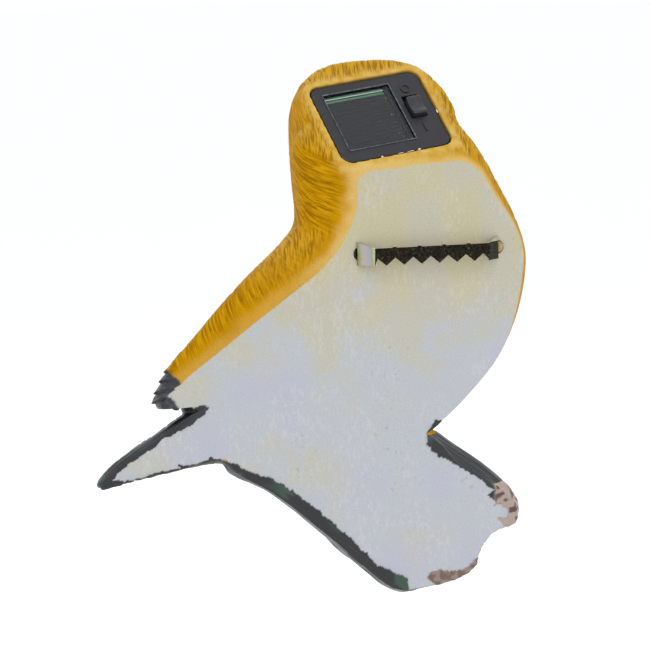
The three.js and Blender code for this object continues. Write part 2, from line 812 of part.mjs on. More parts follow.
add(
  "cell_wire_red",
  wireAlong([
    [cellTo + 1.6 + WIRE, CELL.y - 0.6, CELL.z - 1],
    [cellTo + 3, CELL.y - 1.4, CELL.z - 1.4],
    [BOARD.x - 2.4, BOARD.y - 7.8, underBoard - 1.2],
    [BOARD.x - 2.4, BOARD.y - 8.2, underBoard],
  ]),
  RED_PVC,
  moduleFrame,
);
add(
  "cell_wire_black",
  wireAlong([
    [cellFrom - 0.2, CELL.y + 6.1, CELL.z + 0.4],
    [CELL.x, CELL.y + 6.3, CELL.z - 0.4],
    [boardEdge - 2.6, BOARD.y + 0.4, boardLow - 1.4],
    [boardEdge - 1, BOARD.y + 0.8, BOARD.top - 0.6],
  ]),
  BLACK_PVC,
  moduleFrame,
);

// ---------------------------------------------------------------- eye lamps
for (const eye of eyes) {
  const { side, axis, along } = eye;
  const name = side < 0 ? "left" : "right";
  const sideways = new THREE.Vector3(0, 0, 1).cross(axis).normalize();
  const beside = (amount, aside) =>
    new THREE.Vector3(...along(amount)).addScaledVector(sideways, aside).toArray();
  const lamp = join(
    solid(rod(along(0.6), along(LAMP.length - LAMP.r), LAMP.r, 20)),
    solid(new THREE.SphereGeometry(LAMP.r, 20, 12).translate(...along(LAMP.length - LAMP.r))),
    solid(rod(along(-1.3), along(-FIT), LAMP.flange, 20)),
    solid(rod(along(-0.6), along(1.2), LAMP.r - 0.05, 20)),
    ...[-LAMP.legApart / 2, LAMP.legApart / 2].map((aside) =>
      solid(rod(beside(-1 - LAMP.legs, aside), beside(-0.5, aside), LAMP.leg / 2, 8)),
    ),
  );
  add(`eye_lamp_${name}`, lamp, LAMP_EPOXY);

  // Each leg's wire runs straight back through the bore and the tub's mouth.
  for (const [colour, aside, look] of [
    ["red", -LAMP.legApart / 2, RED_PVC],
    ["black", LAMP.legApart / 2, BLACK_PVC],
  ]) {
    const from = beside(-1 - LAMP.legs - FIT, aside);
    const to = beside(crossing(eye, FLOOR_TOP + 2).distance, aside);
    add(`lamp_wire_${name}_${colour}`, rod(from, to, WIRE, 10), look);
  }
}

// ---------------------------------------------------------------- sawtooth hanger
const valleyZ = NAIL.r; // the nail's top bears on the valley between two teeth
const stripTop = valleyZ + HANGER.height - HANGER.tooth;
const stripShape = new THREE.Shape();
const halfRun = (HANGER.teeth * HANGER.pitch) / 2;
const stripEnd = (side) => HANGER_ASIDE + (side * HANGER.length) / 2;
stripShape.moveTo(stripEnd(-1), stripTop);
stripShape.lineTo(stripEnd(-1), valleyZ - HANGER.tooth);
for (let i = 0; i < HANGER.teeth + 1; i += 1) {
  const x = -halfRun + i * HANGER.pitch;
  stripShape.lineTo(x, valleyZ);
  if (i < HANGER.teeth) stripShape.lineTo(x + HANGER.pitch / 2, valleyZ - HANGER.tooth);
}
stripShape.lineTo(stripEnd(1), valleyZ - HANGER.tooth);
stripShape.lineTo(stripEnd(1), stripTop);
const NUB = { spacing: 10.8, r: 0.8 };
for (const i of [1.5, 0.5, -0.5, -1.5]) {
  const x = HANGER_ASIDE / 2 + i * NUB.spacing;
  stripShape.lineTo(x + NUB.r, stripTop);
  stripShape.absarc(x, stripTop, NUB.r, 0, Math.PI);
}
const strip = new THREE.ExtrudeGeometry(stripShape, {
  depth: HANGER.t,
  bevelEnabled: false,
  curveSegments: 4,
})
  .rotateX(Math.PI / 2)
  .translate(0, HANGER.gap + HANGER.t, 0);

// Each end widens, slopes down to the back and ends in a prong set in cement.
const END_FOOT = 0.4; // the sloping end stops just clear of the resin
function hangerEnd(side) {
  const inner = stripEnd(side) - side * 0.6;
  const outer = endX(side);
  const slope = new THREE.Shape();
  slope.moveTo(inner, HANGER.gap + HANGER.t);
  slope.lineTo(outer + side * 0.9, END_FOOT + 0.6);
  slope.lineTo(outer + side * 0.9, END_FOOT);
  slope.lineTo(outer - side * 0.1, END_FOOT);
  slope.lineTo(inner, HANGER.gap);
  const leg = new THREE.ExtrudeGeometry(slope, { depth: 1, bevelEnabled: false });
  const points = leg.getAttribute("position");
  for (let i = 0; i < points.count; i += 1) {
    const x = points.getX(i);
    const far = Math.abs(x - inner) > 1;
    const height = far ? HANGER_END.height : HANGER.height;
    const middle = far ? HANGER_END.z : stripTop - HANGER.height / 2;
    points.setXYZ(i, x, points.getY(i), middle + (points.getZ(i) - 0.5) * height);
  }
  return join(
    solid(leg),
    solid(
      box(
        0.8,
        HANGER_END.depth + END_FOOT + 0.3,
        HANGER_END.prong,
        outer + side * 0.4,
        (END_FOOT + 0.3 - HANGER_END.depth) / 2,
        HANGER_END.z,
      ),
    ),
  );
}
const hanger = join(solid(strip), hangerEnd(-1), hangerEnd(1));
add("sawtooth_hanger", hanger, ZINC, hangerFrame);

for (const side of [-1, 1]) {
  const x = endX(side) + ANCHOR.aside;
  const bottom = -HANGER_END.depth - 0.9;
  const plug = cut(
    solid(rod([x, bottom, HANGER_END.z], [x, -0.4, HANGER_END.z], ANCHOR.r, 20)),
    solid(
      box(
        0.8 + 2 * FIT,
        HANGER_END.depth + 4,
        HANGER_END.prong + 2 * FIT,
        endX(side) + side * 0.4,
        (4 - HANGER_END.depth) / 2 - FIT,
        HANGER_END.z,
      ),
    ),
  );
  add(`anchor_plug_${side < 0 ? "left" : "right"}`, plug, CEMENT, hangerFrame);
}

// The object's origin is on the nail's axis.
const plaque = new THREE.Group();
parts.position.set(-NAIL.x, 0, -NAIL.z);
plaque.add(parts);
export default plaque;
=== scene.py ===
import bpy
import bmesh
import math
import numpy as np
from mathutils import Matrix, Vector
from mathutils.bvhtree import BVHTree


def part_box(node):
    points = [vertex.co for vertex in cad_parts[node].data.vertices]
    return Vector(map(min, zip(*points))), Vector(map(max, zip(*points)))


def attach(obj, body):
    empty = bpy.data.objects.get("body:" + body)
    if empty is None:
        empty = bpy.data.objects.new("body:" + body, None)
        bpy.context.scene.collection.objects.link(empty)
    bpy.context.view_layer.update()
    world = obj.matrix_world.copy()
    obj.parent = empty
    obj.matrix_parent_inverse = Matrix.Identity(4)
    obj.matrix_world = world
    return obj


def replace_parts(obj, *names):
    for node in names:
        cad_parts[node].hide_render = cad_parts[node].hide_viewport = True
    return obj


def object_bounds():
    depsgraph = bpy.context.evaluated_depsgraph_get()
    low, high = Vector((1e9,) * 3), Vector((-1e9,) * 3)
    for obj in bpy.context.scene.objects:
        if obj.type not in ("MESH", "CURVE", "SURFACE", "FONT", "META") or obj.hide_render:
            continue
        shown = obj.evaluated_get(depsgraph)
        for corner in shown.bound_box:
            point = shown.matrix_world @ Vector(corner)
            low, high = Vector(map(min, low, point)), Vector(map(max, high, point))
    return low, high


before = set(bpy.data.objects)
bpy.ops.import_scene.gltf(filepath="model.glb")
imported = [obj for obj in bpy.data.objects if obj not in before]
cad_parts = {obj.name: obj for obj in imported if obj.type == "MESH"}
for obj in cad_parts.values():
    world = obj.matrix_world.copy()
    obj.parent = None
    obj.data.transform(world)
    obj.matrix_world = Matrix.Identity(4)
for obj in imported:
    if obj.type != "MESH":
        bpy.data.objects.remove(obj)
cad_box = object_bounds()

# The studio: a camera on a long lens behind the plaque and a little to its tail side, because
# the back carries the solar module and the hanger. The light is soft and nearly even, from
# large panels and a white room, over a plain pale floor well below the hanging plaque.
MM = 0.001
camera = bpy.data.objects.new("camera", bpy.data.cameras.new("camera"))
bpy.context.collection.objects.link(camera)
camera.data.sensor_width = 36.0
camera.data.lens = 137.09
camera_right = Vector((-0.93742, 0.34321, -0.05864))
camera_up = Vector((-0.10245, -0.11095, 0.98853))
camera_back = Vector((0.33277, 0.93268, 0.13917))
camera.matrix_world = Matrix.Translation(Vector((378.1, 932.68, 115.79)) * MM) @ Matrix((
    camera_right, camera_up, camera_back)).transposed().to_4x4()
camera.data.clip_start = 0.05
bpy.context.scene.camera = camera
bpy.context.scene.view_settings.view_transform = "Standard"


PLAQUE_MIDDLE = Vector((0.04, 0.0, -0.02))


def panel_light(name, place, size, watts, tint=(1.0, 1.0, 1.0)):
    """A round soft light of that width in metres, turned to the plaque's middle."""
    panel = bpy.data.lights.new(name, "AREA")
    panel.shape = "DISK"
    panel.size = size
    panel.energy = watts
    panel.color = tint
    lamp = bpy.data.objects.new(name, panel)
    lamp.location = place
    lamp.rotation_euler = (PLAQUE_MIDDLE - Vector(place)).to_track_quat("-Z", "Y").to_euler()
    bpy.context.collection.objects.link(lamp)


panel_light("key_light", (0.3, 1.0, 1.5), 0.7, 5.0)
panel_light("back_fill", (-1.1, 0.8, 0.3), 0.9, 1.0, (0.94, 0.97, 1.0))
panel_light("front_light", (-0.5, -1.3, 0.9), 0.9, 5.0)
room = bpy.data.worlds.new("white_room")
room.use_nodes = True
room.node_tree.nodes["Background"].inputs["Color"].default_value = (0.97, 0.985, 1.0, 1.0)
room.node_tree.nodes["Background"].inputs["Strength"].default_value = 1.03
bpy.context.scene.world = room


def colour(hex_text):
    """An sRGB hex value as the linear colour that sockets take."""
    parts = [int(hex_text[i:i + 2], 16) / 255 for i in (1, 3, 5)]
    linear = [p / 12.92 if p <= 0.04045 else ((p + 0.055) / 1.055) ** 2.4 for p in parts]
    return (*linear, 1.0)


def add(material, kind, links=None, **settings):
    """Adds one node: its settings, then its sockets, each a plain value or another's output."""
    node = material.node_tree.nodes.new(kind)
    for name, value in settings.items():
        setattr(node, name, value)
    for socket, source in (links or {}).items():
        if isinstance(source, bpy.types.NodeSocket):
            material.node_tree.links.new(source, node.inputs[socket])
        else:
            node.inputs[socket].default_value = source
    return node


def new_material(name, roughness, metallic=0.0, **sockets):
    """A named material with its main shader, and the shader itself."""
    material = bpy.data.materials.new(name)
    material.use_nodes = True
    shader = material.node_tree.nodes["Principled BSDF"]
    shader.inputs["Roughness"].default_value = roughness
    shader.inputs["Metallic"].default_value = metallic
    for socket, value in sockets.items():
        shader.inputs[socket.replace("_", " ")].default_value = value
    return material, shader


def ramp(material, factor, *stops):
    """A colour ramp between (place, hex) stops."""
    node = add(material, "ShaderNodeValToRGB", {"Fac": factor})
    elements = node.color_ramp.elements
    for _ in stops[2:]:
        elements.new(0.5)
    for element, (place, hex_text) in zip(elements, stops):
        element.position = place
        element.color = colour(hex_text)
    return node.outputs["Color"]


FLOOR_HALF = 60.0
FLOOR_BELOW = 0.16
floor_mesh = bmesh.new()
bmesh.ops.create_grid(floor_mesh, x_segments=1, y_segments=1, size=FLOOR_HALF)
floor_data = bpy.data.meshes.new("floor")
floor_mesh.to_mesh(floor_data)
floor_data.transform(Matrix.Translation((0, 0, cad_box[0].z - FLOOR_BELOW)))
floor = bpy.data.objects.new("floor", floor_data)
bpy.context.collection.objects.link(floor)
# Matt white board: it takes only a soft, faint shadow.
floor_paint, floor_shader = new_material("matt_white_floor", 0.8)
floor_shader.inputs["Base Color"].default_value = colour("#FDFDFC")
floor_data.materials.append(floor_paint)

# ---------------------------------------------------------------------------------------
# The casting: one solid piece of mineral-filled polyester resin, poured face down in a rubber
# mould, so the back is the flat pour face. The front and sides carry the sculptor's fine
# feather strokes and are brush painted; the back is left bare, with paint lapping its edges.
VOXEL = 0.46 * MM
# The bird is laid out in millimetres about its own middle; NAIL is the frame's origin there.
NAIL = np.array([1.1, 0, -2.85])
MODULE_AT = np.array([10.3, -18.2, 54.8])
POCKET_HALF_WIDE, POCKET_HALF_HIGH = 26.0, 21.0
LEFT_ANCHOR, RIGHT_ANCHOR = (-30.9, -1.3), (29.4, 1.4)
BACK = -0.3  # the back lies at 0, so deeper points belong to the sides
FOOT_OF_BIRD = -77  # the branch and leaves lie below this height
tilt = math.radians(41.6)
spin = math.radians(7)
module_out = np.array([0, math.cos(tilt), math.sin(tilt)])
upslope = np.array([0, -math.sin(tilt), math.cos(tilt)])
module_across = np.array([-math.cos(spin), 0, 0]) + upslope * math.sin(spin)
module_up = upslope * math.cos(spin) + np.array([math.sin(spin), 0, 0])


def smooth(low, high, value):
    """0 at low, 1 at high, and an eased step between."""
    t = np.clip((value - low) / (high - low), 0, 1)
    return t * t * (3 - 2 * t)


def grain(points, cell, seed=0):
    """Smooth random values from 0 to 1, on a lattice with cells of that many millimetres."""
    p = points / cell
    base = np.floor(p).astype(np.int64)
    t = p - base
    t = t * t * (3 - 2 * t)
    total = np.zeros(len(points))
    for corner in np.ndindex(2, 2, 2):
        c = base + corner
        h = (c[:, 0] * 73856093) ^ (c[:, 1] * 19349663) ^ (c[:, 2] * 83492791) ^ (seed * 2654435)
        h = (h ^ (h >> 13)) * 1274126177 & 0xFFFFFFFF
        h = (h ^ (h >> 16)) & 0xFFFF
        total += np.prod(np.where(corner, t, 1 - t), axis=1) * (h / 0xFFFF)
    return total


def relax(points, edges, weight, rounds):
    """Eases each point towards the middle of its neighbours."""
    count = np.maximum(np.bincount(edges.ravel(), minlength=len(points)), 1)
    for _ in range(rounds):
        middle = np.empty_like(points)
        for k in range(3):
            a = np.bincount(edges[:, 0], points[edges[:, 1], k], len(points))
            b = np.bincount(edges[:, 1], points[edges[:, 0], k], len(points))
            middle[:, k] = (a + b) / count
        points = points + weight[:, None] * (middle - points)
    return points


def inside(x, z, outline):
    """Whether each point lies within a closed outline of (x, z) corners in millimetres."""
    odd = np.zeros(len(x), dtype=bool)
    for (x0, z0), (x1, z1) in zip(outline, outline[1:] + outline[:1]):
        if z0 != z1:
            odd ^= ((z0 > z) != (z1 > z)) & (x < x0 + (z - z0) * (x1 - x0) / (z1 - z0))
    return odd


def from_line(points, a, b):
    """How far each point is from the line from a to b, and how far along it, from 0 to 1."""
    a, b = np.array(a), np.array(b)
    along = np.clip((points - a) @ (b - a) / ((b - a) @ (b - a)), 0, 1)
    return np.linalg.norm(points - a - along[:, None] * (b - a), axis=1), along


blank = bmesh.new()
blank.from_mesh(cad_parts["resin_casting"].data)
bmesh.ops.remove_doubles(blank, verts=blank.verts, dist=1e-6)
surface = BVHTree.FromBMesh(blank)
blank_data = bpy.data.meshes.new("casting_blank")
blank.to_mesh(blank_data)
blank_object = bpy.data.objects.new("casting_blank", blank_data)
bpy.context.collection.objects.link(blank_object)
remesh = blank_object.modifiers.new("cast", "REMESH")
remesh.mode = "VOXEL"
remesh.voxel_size = VOXEL
casting = bpy.data.meshes.new_from_object(
    blank_object.evaluated_get(bpy.context.evaluated_depsgraph_get()))
bpy.data.objects.remove(blank_object)

at = np.empty(len(casting.vertices) * 3)
casting.vertices.foreach_get("co", at)
at = at.reshape(-1, 3) / MM + NAIL
edges = np.empty(len(casting.edges) * 2, dtype=np.int64)
casting.edges.foreach_get("vertices", edges)
edges = edges.reshape(-1, 2)

in_module = (at - MODULE_AT) @ np.stack([module_across, module_up, module_out], axis=1)
beside = np.maximum(np.abs(in_module[:, 0]) - POCKET_HALF_WIDE,
                    np.abs(in_module[:, 1]) - POCKET_HALF_HIGH)
near_pocket = (1 - smooth(0.5, 3.5, beside)) * (in_module[:, 2] > -27)
anchors = np.minimum(*(np.hypot(at[:, 0] - ax, at[:, 2] - az)
                       for ax, az in (LEFT_ANCHOR, RIGHT_ANCHOR)))
on_back = at[:, 1] > BACK
foliage = at[:, 2] < FOOT_OF_BIRD
softness = (1 - near_pocket) * smooth(3.4, 5.0, anchors) * np.where(foliage, 0.35, 0.6)
softness *= 0.3 + 0.7 * smooth(0.0, 2.5, -at[:, 1])
at = relax(at, edges, softness, 36)
at[on_back, 1] = np.minimum(at[on_back, 1], 0) * 0.3
# The dip between the head and the shoulders is eased most, to one soft hollow.
saddle = (smooth(14, 24, at[:, 2]) * smooth(56, 48, at[:, 2]) * smooth(2, 6, -at[:, 1])
          * (1 - near_pocket))
local = (saddle[edges] > 0).all(axis=1)
at = relax(at, edges[local], saddle * 0.9, 110)

# The wing ends square below, in a corner of stepped feather ends.
x, y, z = at.T
tail_top = -55.0 - 0.62 * (x - 104)
under = (x > 101) & (x < 118) & (z > tail_top + 0.9) & (z > -58) & (z < -53.2)
at[under, 2] = -53.2 + 0.12 * (z[under] + 53.2)
x, y, z = at.T
at_tip = smooth(105, 113, x) * (z > -54.2) * smooth(-36.5, -38.5, z)
step = np.mod((-z + 0.3 * y - 37.6 + 1.5 * grain(at, 6, 31)) / 4.0, 1.0)
at[:, 0] += at_tip * (2.9 * smooth(-42, -52.5, z) + 1.5 * step ** 1.6 - 0.3)
casting.vertices.foreach_set("co", ((at - NAIL) * MM).ravel())
casting.update()
normal = np.empty(len(casting.vertices) * 3)
casting.vertex_normals.foreach_get("vector", normal)
normal = normal.reshape(-1, 3)
x, y, z = at.T

# Strokes follow the lie of the feathers: down the neck and back round it, and along the wing.
neck = smooth(-15, 10, z)
wing = smooth(20, 45, x) * (1 - neck)
lie = np.stack([0.8 * wing - 0.12, np.zeros(len(at)), -1.0 + 0.4 * wing], axis=1)
backwards = neck * (1.6 + 14 * smooth(-38, -12, y)) + (1 - neck) * (0.3 + 1.5 * smooth(-40, -20, y))
lie[:, 1] = backwards
lie /= np.linalg.norm(lie, axis=1)[:, None]
wander = np.stack([grain(at, 16, 5), grain(at, 16, 6), grain(at, 16, 7)], axis=1) - 0.5
lie += 0.5 * wander
lie -= normal * np.sum(lie * normal, axis=1)[:, None]
lie /= np.maximum(np.linalg.norm(lie, axis=1), 1e-6)[:, None]
stroke = sum(grain(at + lie * 0.62 * k, 0.9, 1) for k in range(-6, 7))
stroke = (stroke - stroke.mean()) / stroke.std()
groove = smooth(0.05, 1.35, -stroke)

# The wrapped edges of leaves and tail are dragged along with a stiff brush.
leafwards = np.array([0.77, 0, 0.63])
tailwards = np.array([0.85, 0, -0.52])
drag = np.where(((x > 96) & (z > -80))[:, None], tailwards, leafwards)
strand = grain(at - 0.9 * np.sum(at * drag, axis=1)[:, None] * drag, 1.3, 3)
strand = 0.65 * strand + 0.35 * grain(at - 0.85 * np.sum(at * drag, axis=1)[:, None] * drag, 3.1, 8)

wobble = np.stack([grain(at, 2.0, 11), grain(at, 2.0, 12)], axis=1) - 0.5
wobble += 0.6 * (np.stack([grain(at, 0.9, 13), grain(at, 0.9, 14)], axis=1) - 0.5)
brush_x, brush_z = x + 0.9 * wobble[:, 0], z + 0.9 * wobble[:, 1]
lapped = inside(brush_x, brush_z, [
    (17, -135), (23, -132), (30, -128), (36, -121), (41, -115), (48, -108), (56, -100),
    (65, -92), (72, -87), (80, -83), (91, -77), (96, -76), (98, -74), (100, -76), (108, -76.6),
    (112, -75.2), (111, -77.4), (119, -77.6), (126, -79), (134, -79.5), (139.4, -78.5),
    (132.4, -73), (127.5, -70.4), (121, -67.5), (119, -65.5), (116, -64), (108, -61.6),
    (104.6, -60), (99.3, -56.4), (97.6, -53.2), (104, -53.4), (150, -60), (160, -90),
    (100, -95), (60, -130), (16, -150)])
lapped |= inside(brush_x, brush_z, [
    (4.5, -75), (5, -80), (3, -84), (-4, -88), (-8, -91), (-13, -94), (-18, -98), (-21, -101),
    (-25, -103.5), (-28, -101), (-32, -90), (0, -70)])
lapped |= (0.8 * x - 0.6 * z > 119.7 + wobble[:, 0]) & (z > -54.5)
pinkish = inside(x + 0.8 * wobble[:, 0], z + 0.8 * wobble[:, 1], [
    (-25, -102.5), (-21, -105), (-25, -108.5), (-24, -109.6), (-27, -110), (-29.5, -112),
    (-29.5, -115.5), (-25, -115.4), (-26.5, -117), (-28, -119.5), (-38, -119), (-38, -102)])
pinkish |= inside(x + 0.8 * wobble[:, 0], z + 0.8 * wobble[:, 1], [
    (8, -136), (7, -134.4), (4, -133.6), (-1, -134.6), (-6, -135), (-10, -134.4), (-13.5, -132),
    (-17, -130), (-17, -137), (-2, -145), (6, -138.5)])
lapped |= pinkish

edge_rim = smooth(1.5, 6.0, -y + 1.8 * (grain(at, 5, 9) - 0.5))
bird = np.where(foliage, 0.0, 1.0) * edge_rim * (1 - near_pocket) * (1 - on_back)
tip = 0.8 * x - 0.6 * z - 112.6 + 0.9 * wobble[:, 0]
black_tip = smooth(-0.4, 0.4, tip) * (z > -54.5)
tail = smooth(93, 94, x) * (z < -53.8) + smooth(86, 88, x) * (z < -56) * (y < -1)
tail = np.clip(tail, 0, 1)
dark = np.maximum(foliage, tail) * np.where(on_back, lapped, 1)
dark = np.maximum(dark, on_back * lapped * (z < -52.9))

bill_off, bill_along = from_line(at, (9.5, -50, 37), (9.5, -73, 30))
bill = (bill_off < 8.6 - 6.4 * bill_along) & (y < -56)
gape = bill * (1 - smooth(0.15, 0.55, np.abs(z - 37.2 - 0.30 * (y + 50))))
rods = [((84, -18, -73), (34, -25, -96), 7, 10), ((38, -25, -95), (-29, -14, -116), 10, 6.5),
        ((20, -24, -100), (3, -13, -136), 8, 6)]
branch = np.zeros(len(at))
for a, b, r0, r1 in rods:
    off, along = from_line(at, a, b)
    branch = np.maximum(branch, (off < r0 + (r1 - r0) * along + 0.8) * (y < -11) * foliage)
foot = np.zeros(len(at))
for leg_x in (2, 34):
    off, _ = from_line(at, (leg_x, -28, -66), (leg_x, -33, -84))
    foot = np.maximum(foot, (off < 4.6) * (y < -26) * (z < -68))
    for spread in (-7, 0, 7):
        off, _ = from_line(at, (leg_x, -33, -84), (leg_x + spread, -33, -101 - 0.06 * leg_x))
        foot = np.maximum(foot, (off < 3.5) * (y < -31.5))

relief = -0.24 * groove * bird * (1 - black_tip)
slant = np.array([0, 0.75, 0.66])
barbs = grain(at - 0.8 * np.sum(at * slant, axis=1)[:, None] * slant, 1.6, 33)
relief += black_tip * (1 - on_back) * 0.5 * (barbs - 0.6)
relief += dark * (strand - 0.5) + dark * on_back * 0.45
relief += black_tip * on_back * lapped * 0.3
relief -= 0.5 * gape
toe_scale = smooth(0.4, 1.0, np.cos(z * 2 * math.pi / 2.2))  # scales 2.2 mm apart
relief -= foot * 0.35 * toe_scale
relief += np.where(on_back, 0.06 * (grain(at, 5, 4) - 0.5), 0)
relief *= smooth(3.0, 3.6, anchors) * (1 - near_pocket * (beside < 0.4))
at = at + normal * relief[:, None]
casting.vertices.foreach_set("co", ((at - NAIL) * MM).ravel())


def lay(paint, hex_text, amount):
    """Brushes one colour over the paint, by amount."""
    return paint + (np.array(colour(hex_text)[:3]) - paint) * np.clip(amount, 0, 1)[:, None]


paint = np.tile(np.array(colour("#B68200")[:3]), (len(at), 1))
paint = lay(paint, "#C28D02", 0.7 * grain(at, 9, 15))
paint = lay(paint, "#AD7A02", 0.5 * smooth(0.5, 0.9, grain(at, 6, 16)))
# Painted shade: the incised feather grooves are painted darker.
paint = lay(paint, "#8F5E02", 0.2 * groove * bird)
pale = (1 - smooth(0.6, 3.4, -y + 1.6 * (grain(at, 4, 17) - 0.5))) * (1 - on_back)
paint = lay(paint, "#DCC07E", (0.2 + 0.4 * neck) * pale)
# Painted light: the upward-facing parts of the head and neck are painted paler.
painted_top_light = smooth(0.2, 0.9, normal[:, 2]) * neck
paint = lay(paint, "#CFAE52", 0.35 * painted_top_light)
lip = (1 - smooth(0.5, 6.0, beside)) * smooth(-3.0, -0.5, in_module[:, 2])
paint = lay(paint, "#DCC178", 0.6 * lip * grain(at, 2.2, 18))
spot = (x - 69) ** 2 + (z - 0.6) ** 2 * 2.5 + 0.25 * (y + 22) ** 2
paint = lay(paint, "#4A3110", (1 - smooth(0.6, 2.2, spot)) * (1 - on_back))
paint = lay(paint, "#B5713A", bill)
paint = lay(paint, "#3A2013", gape)
for eye_x in (-6.5, 25.5):
    side = 4.0 if eye_x > 9.5 else -4.0
    off, _ = from_line(at, (eye_x, -57.5, 50), (eye_x - side * 4, -57.5 + 8.6 * 4, 48.5))
    paint = lay(paint, "#1B1715", 1 - smooth(4.8, 5.3, off + 0.3 * wobble[:, 0]))
paint = lay(paint, "#25262C", black_tip)
paint = lay(paint, "#4C4E58", 0.5 * black_tip * smooth(0.55, 0.8, grain(at, 1.4, 34)))
# The leaves' raised brush strands are painted a lighter green: partly their green paint, partly a
# painted highlight on the ridges.
green_and_ridge_highlight = smooth(0.52, 0.72, strand) * smooth(0.35, 0.6, grain(at, 9, 19))
paint = lay(paint, "#17191C", np.maximum(np.maximum(tail, foliage), dark))
paint = lay(paint, "#2F4A3A", 0.85 * green_and_ridge_highlight * foliage)
# Painted highlight: the tail's raised brush strands are painted a lighter grey.
paint = lay(paint, "#34373E", 0.5 * smooth(0.6, 0.8, strand) * tail)
paint = lay(paint, "#54402F", branch)
# Painted shade: the branch is painted darker along its low brush strands, in its grooves.
paint = lay(paint, "#2E211A", 0.8 * branch * smooth(0.55, 0.3, strand))
paint = lay(paint, "#7C665C", foot)
# Painted shade: the grooves between the toe scales are painted darker.
paint = lay(paint, "#3E302A", foot * toe_scale)
rough_bark = smooth(0.4, 0.65, grain(at, 1.6, 20))
bark_side = smooth(-23.5, -25.5, x + wobble[:, 0]) * foliage * (z < -101)
paint = lay(paint, "#A39086", bark_side)
paint = lay(paint, "#54382F", bark_side * smooth(0.55, 0.8, grain(at * (1, 1, 1.8), 2.4, 24)))
smear = (z < -128) & (x < 9)
paint = lay(paint, "#6B5148", smear)
paint = lay(paint, "#937F78", smear * rough_bark * 0.7)

bare = on_back * (1 - lapped)
warm = 0.5 * grain(at, 30, 21) + 0.35 * grain(at, 12, 22) + 0.15 * grain(at, 4, 25)
creamy = smooth(0.28, 0.6, warm + 0.55 * smooth(-72, -5, z) - 0.25)
resin = np.tile(np.array(colour("#B3B6BB")[:3]), (len(at), 1))
resin = lay(resin, "#BBB498", creamy * (0.4 + 0.6 * smooth(-50, -5, z)))
resin = lay(resin, "#BDB38C", 0.25 * creamy * smooth(0.5, 0.8, grain(at, 15, 26)))
resin = lay(resin, "#B1B2C0", 0.6 * smooth(0.5, 0.8, grain(at, 16, 27)) * (1 - 0.6 * creamy))
streak = grain(at * (1, 1, 0.45), 0.8, 28)
resin = lay(resin, "#C9C9C5", 0.3 * smooth(0.5, 0.9, streak) * smooth(0.2, 0.7, grain(at, 11, 29)))
grit = smooth(0.9, 0.96, grain(at, 1.1, 30)) * smooth(0.6, 0.8, grain(at, 20, 35))
resin = lay(resin, "#8F8D84", 0.5 * grit)
rim_dirt = (1 - smooth(2.9, 4.2, anchors)) * on_back
resin = lay(resin, "#A89C80", 0.5 * rim_dirt)
paint = paint + (resin - paint) * bare[:, None]
# Painted shade: the walls of the open anchor bores are painted dark brown.
bore = (y < -0.2) & (anchors < 3.1) & (y > -8) & (z > -8) & (z < 8)
paint = lay(paint, "#3A3024", bore)

paint_layer = casting.attributes.new("paint", "FLOAT_COLOR", "POINT")
paint_layer.data.foreach_set("color", np.column_stack([paint, np.ones(len(at))]).ravel())
coat = 0.55 + 0.3 * bare - 0.22 * np.maximum(dark, black_tip) * (1 - bare)
coat_layer = casting.attributes.new("coat", "FLOAT", "POINT")
coat_layer.data.foreach_set("value", coat)
gloss_layer = casting.attributes.new("sheen", "FLOAT", "POINT")
gloss_layer.data.foreach_set("value", 0.03 + 0.47 * np.maximum(dark, black_tip) * (1 - bare))
crown = smooth(0.45, 0.8, normal[:, 2] + 0.4 * normal[:, 1]) * neck
face = smooth(0.55, 0.85, -normal[:, 1]) * (1 - crown)
flank = (1 - crown) * (1 - face)
lie_layer = casting.attributes.new("comb", "FLOAT_COLOR", "POINT")
lie_layer.data.foreach_set("color", np.column_stack(
    [flank * neck, flank * (1 - neck), crown, face]).ravel())
feather_layer = casting.attributes.new("feathered", "FLOAT", "POINT")
feather_layer.data.foreach_set(
    "value", bird * (1 - black_tip) * (1 - tail) * (1 - bill) * smooth(-75, -70, z))

# Acrylic paint dries to a low satin, and the leaves' dark coat to a gloss that picks up pale
# edges; the bare pour face is chalky, with a fine tooth.
resin_material, shader = new_material("acrylic_painted_cast_resin", 0.5)
link = resin_material.node_tree.links.new
painted = add(resin_material, "ShaderNodeAttribute", attribute_name="paint").outputs["Color"]
place = add(resin_material, "ShaderNodeTexCoord").outputs["Object"]
fleck = add(resin_material, "ShaderNodeTexNoise", {
    "Vector": place, "Scale": 1500.0, "Detail": 3.0}).outputs["Fac"]
shade = add(resin_material, "ShaderNodeMapRange", {
    "Value": fleck, "From Min": 0.3, "From Max": 0.7,
    "To Min": 0.92, "To Max": 1.06}).outputs["Result"]


def combed(along, across, length_mm, width_mm):
    """Fine strokes of that length and spacing, lying along one direction."""
    turn = Matrix((along, across, Vector(along).cross(Vector(across)))).transposed()
    lie_of = add(resin_material, "ShaderNodeMapping", {
        "Vector": place, "Rotation": turn.to_euler(),
        "Scale": (length_mm * MM, width_mm * MM, length_mm * MM)}, vector_type="TEXTURE")
    return add(resin_material, "ShaderNodeTexNoise", {
        "Vector": lie_of.outputs["Vector"], "Scale": 1.0, "Detail": 1.0,
        "Distortion": 0.15}).outputs["Fac"]


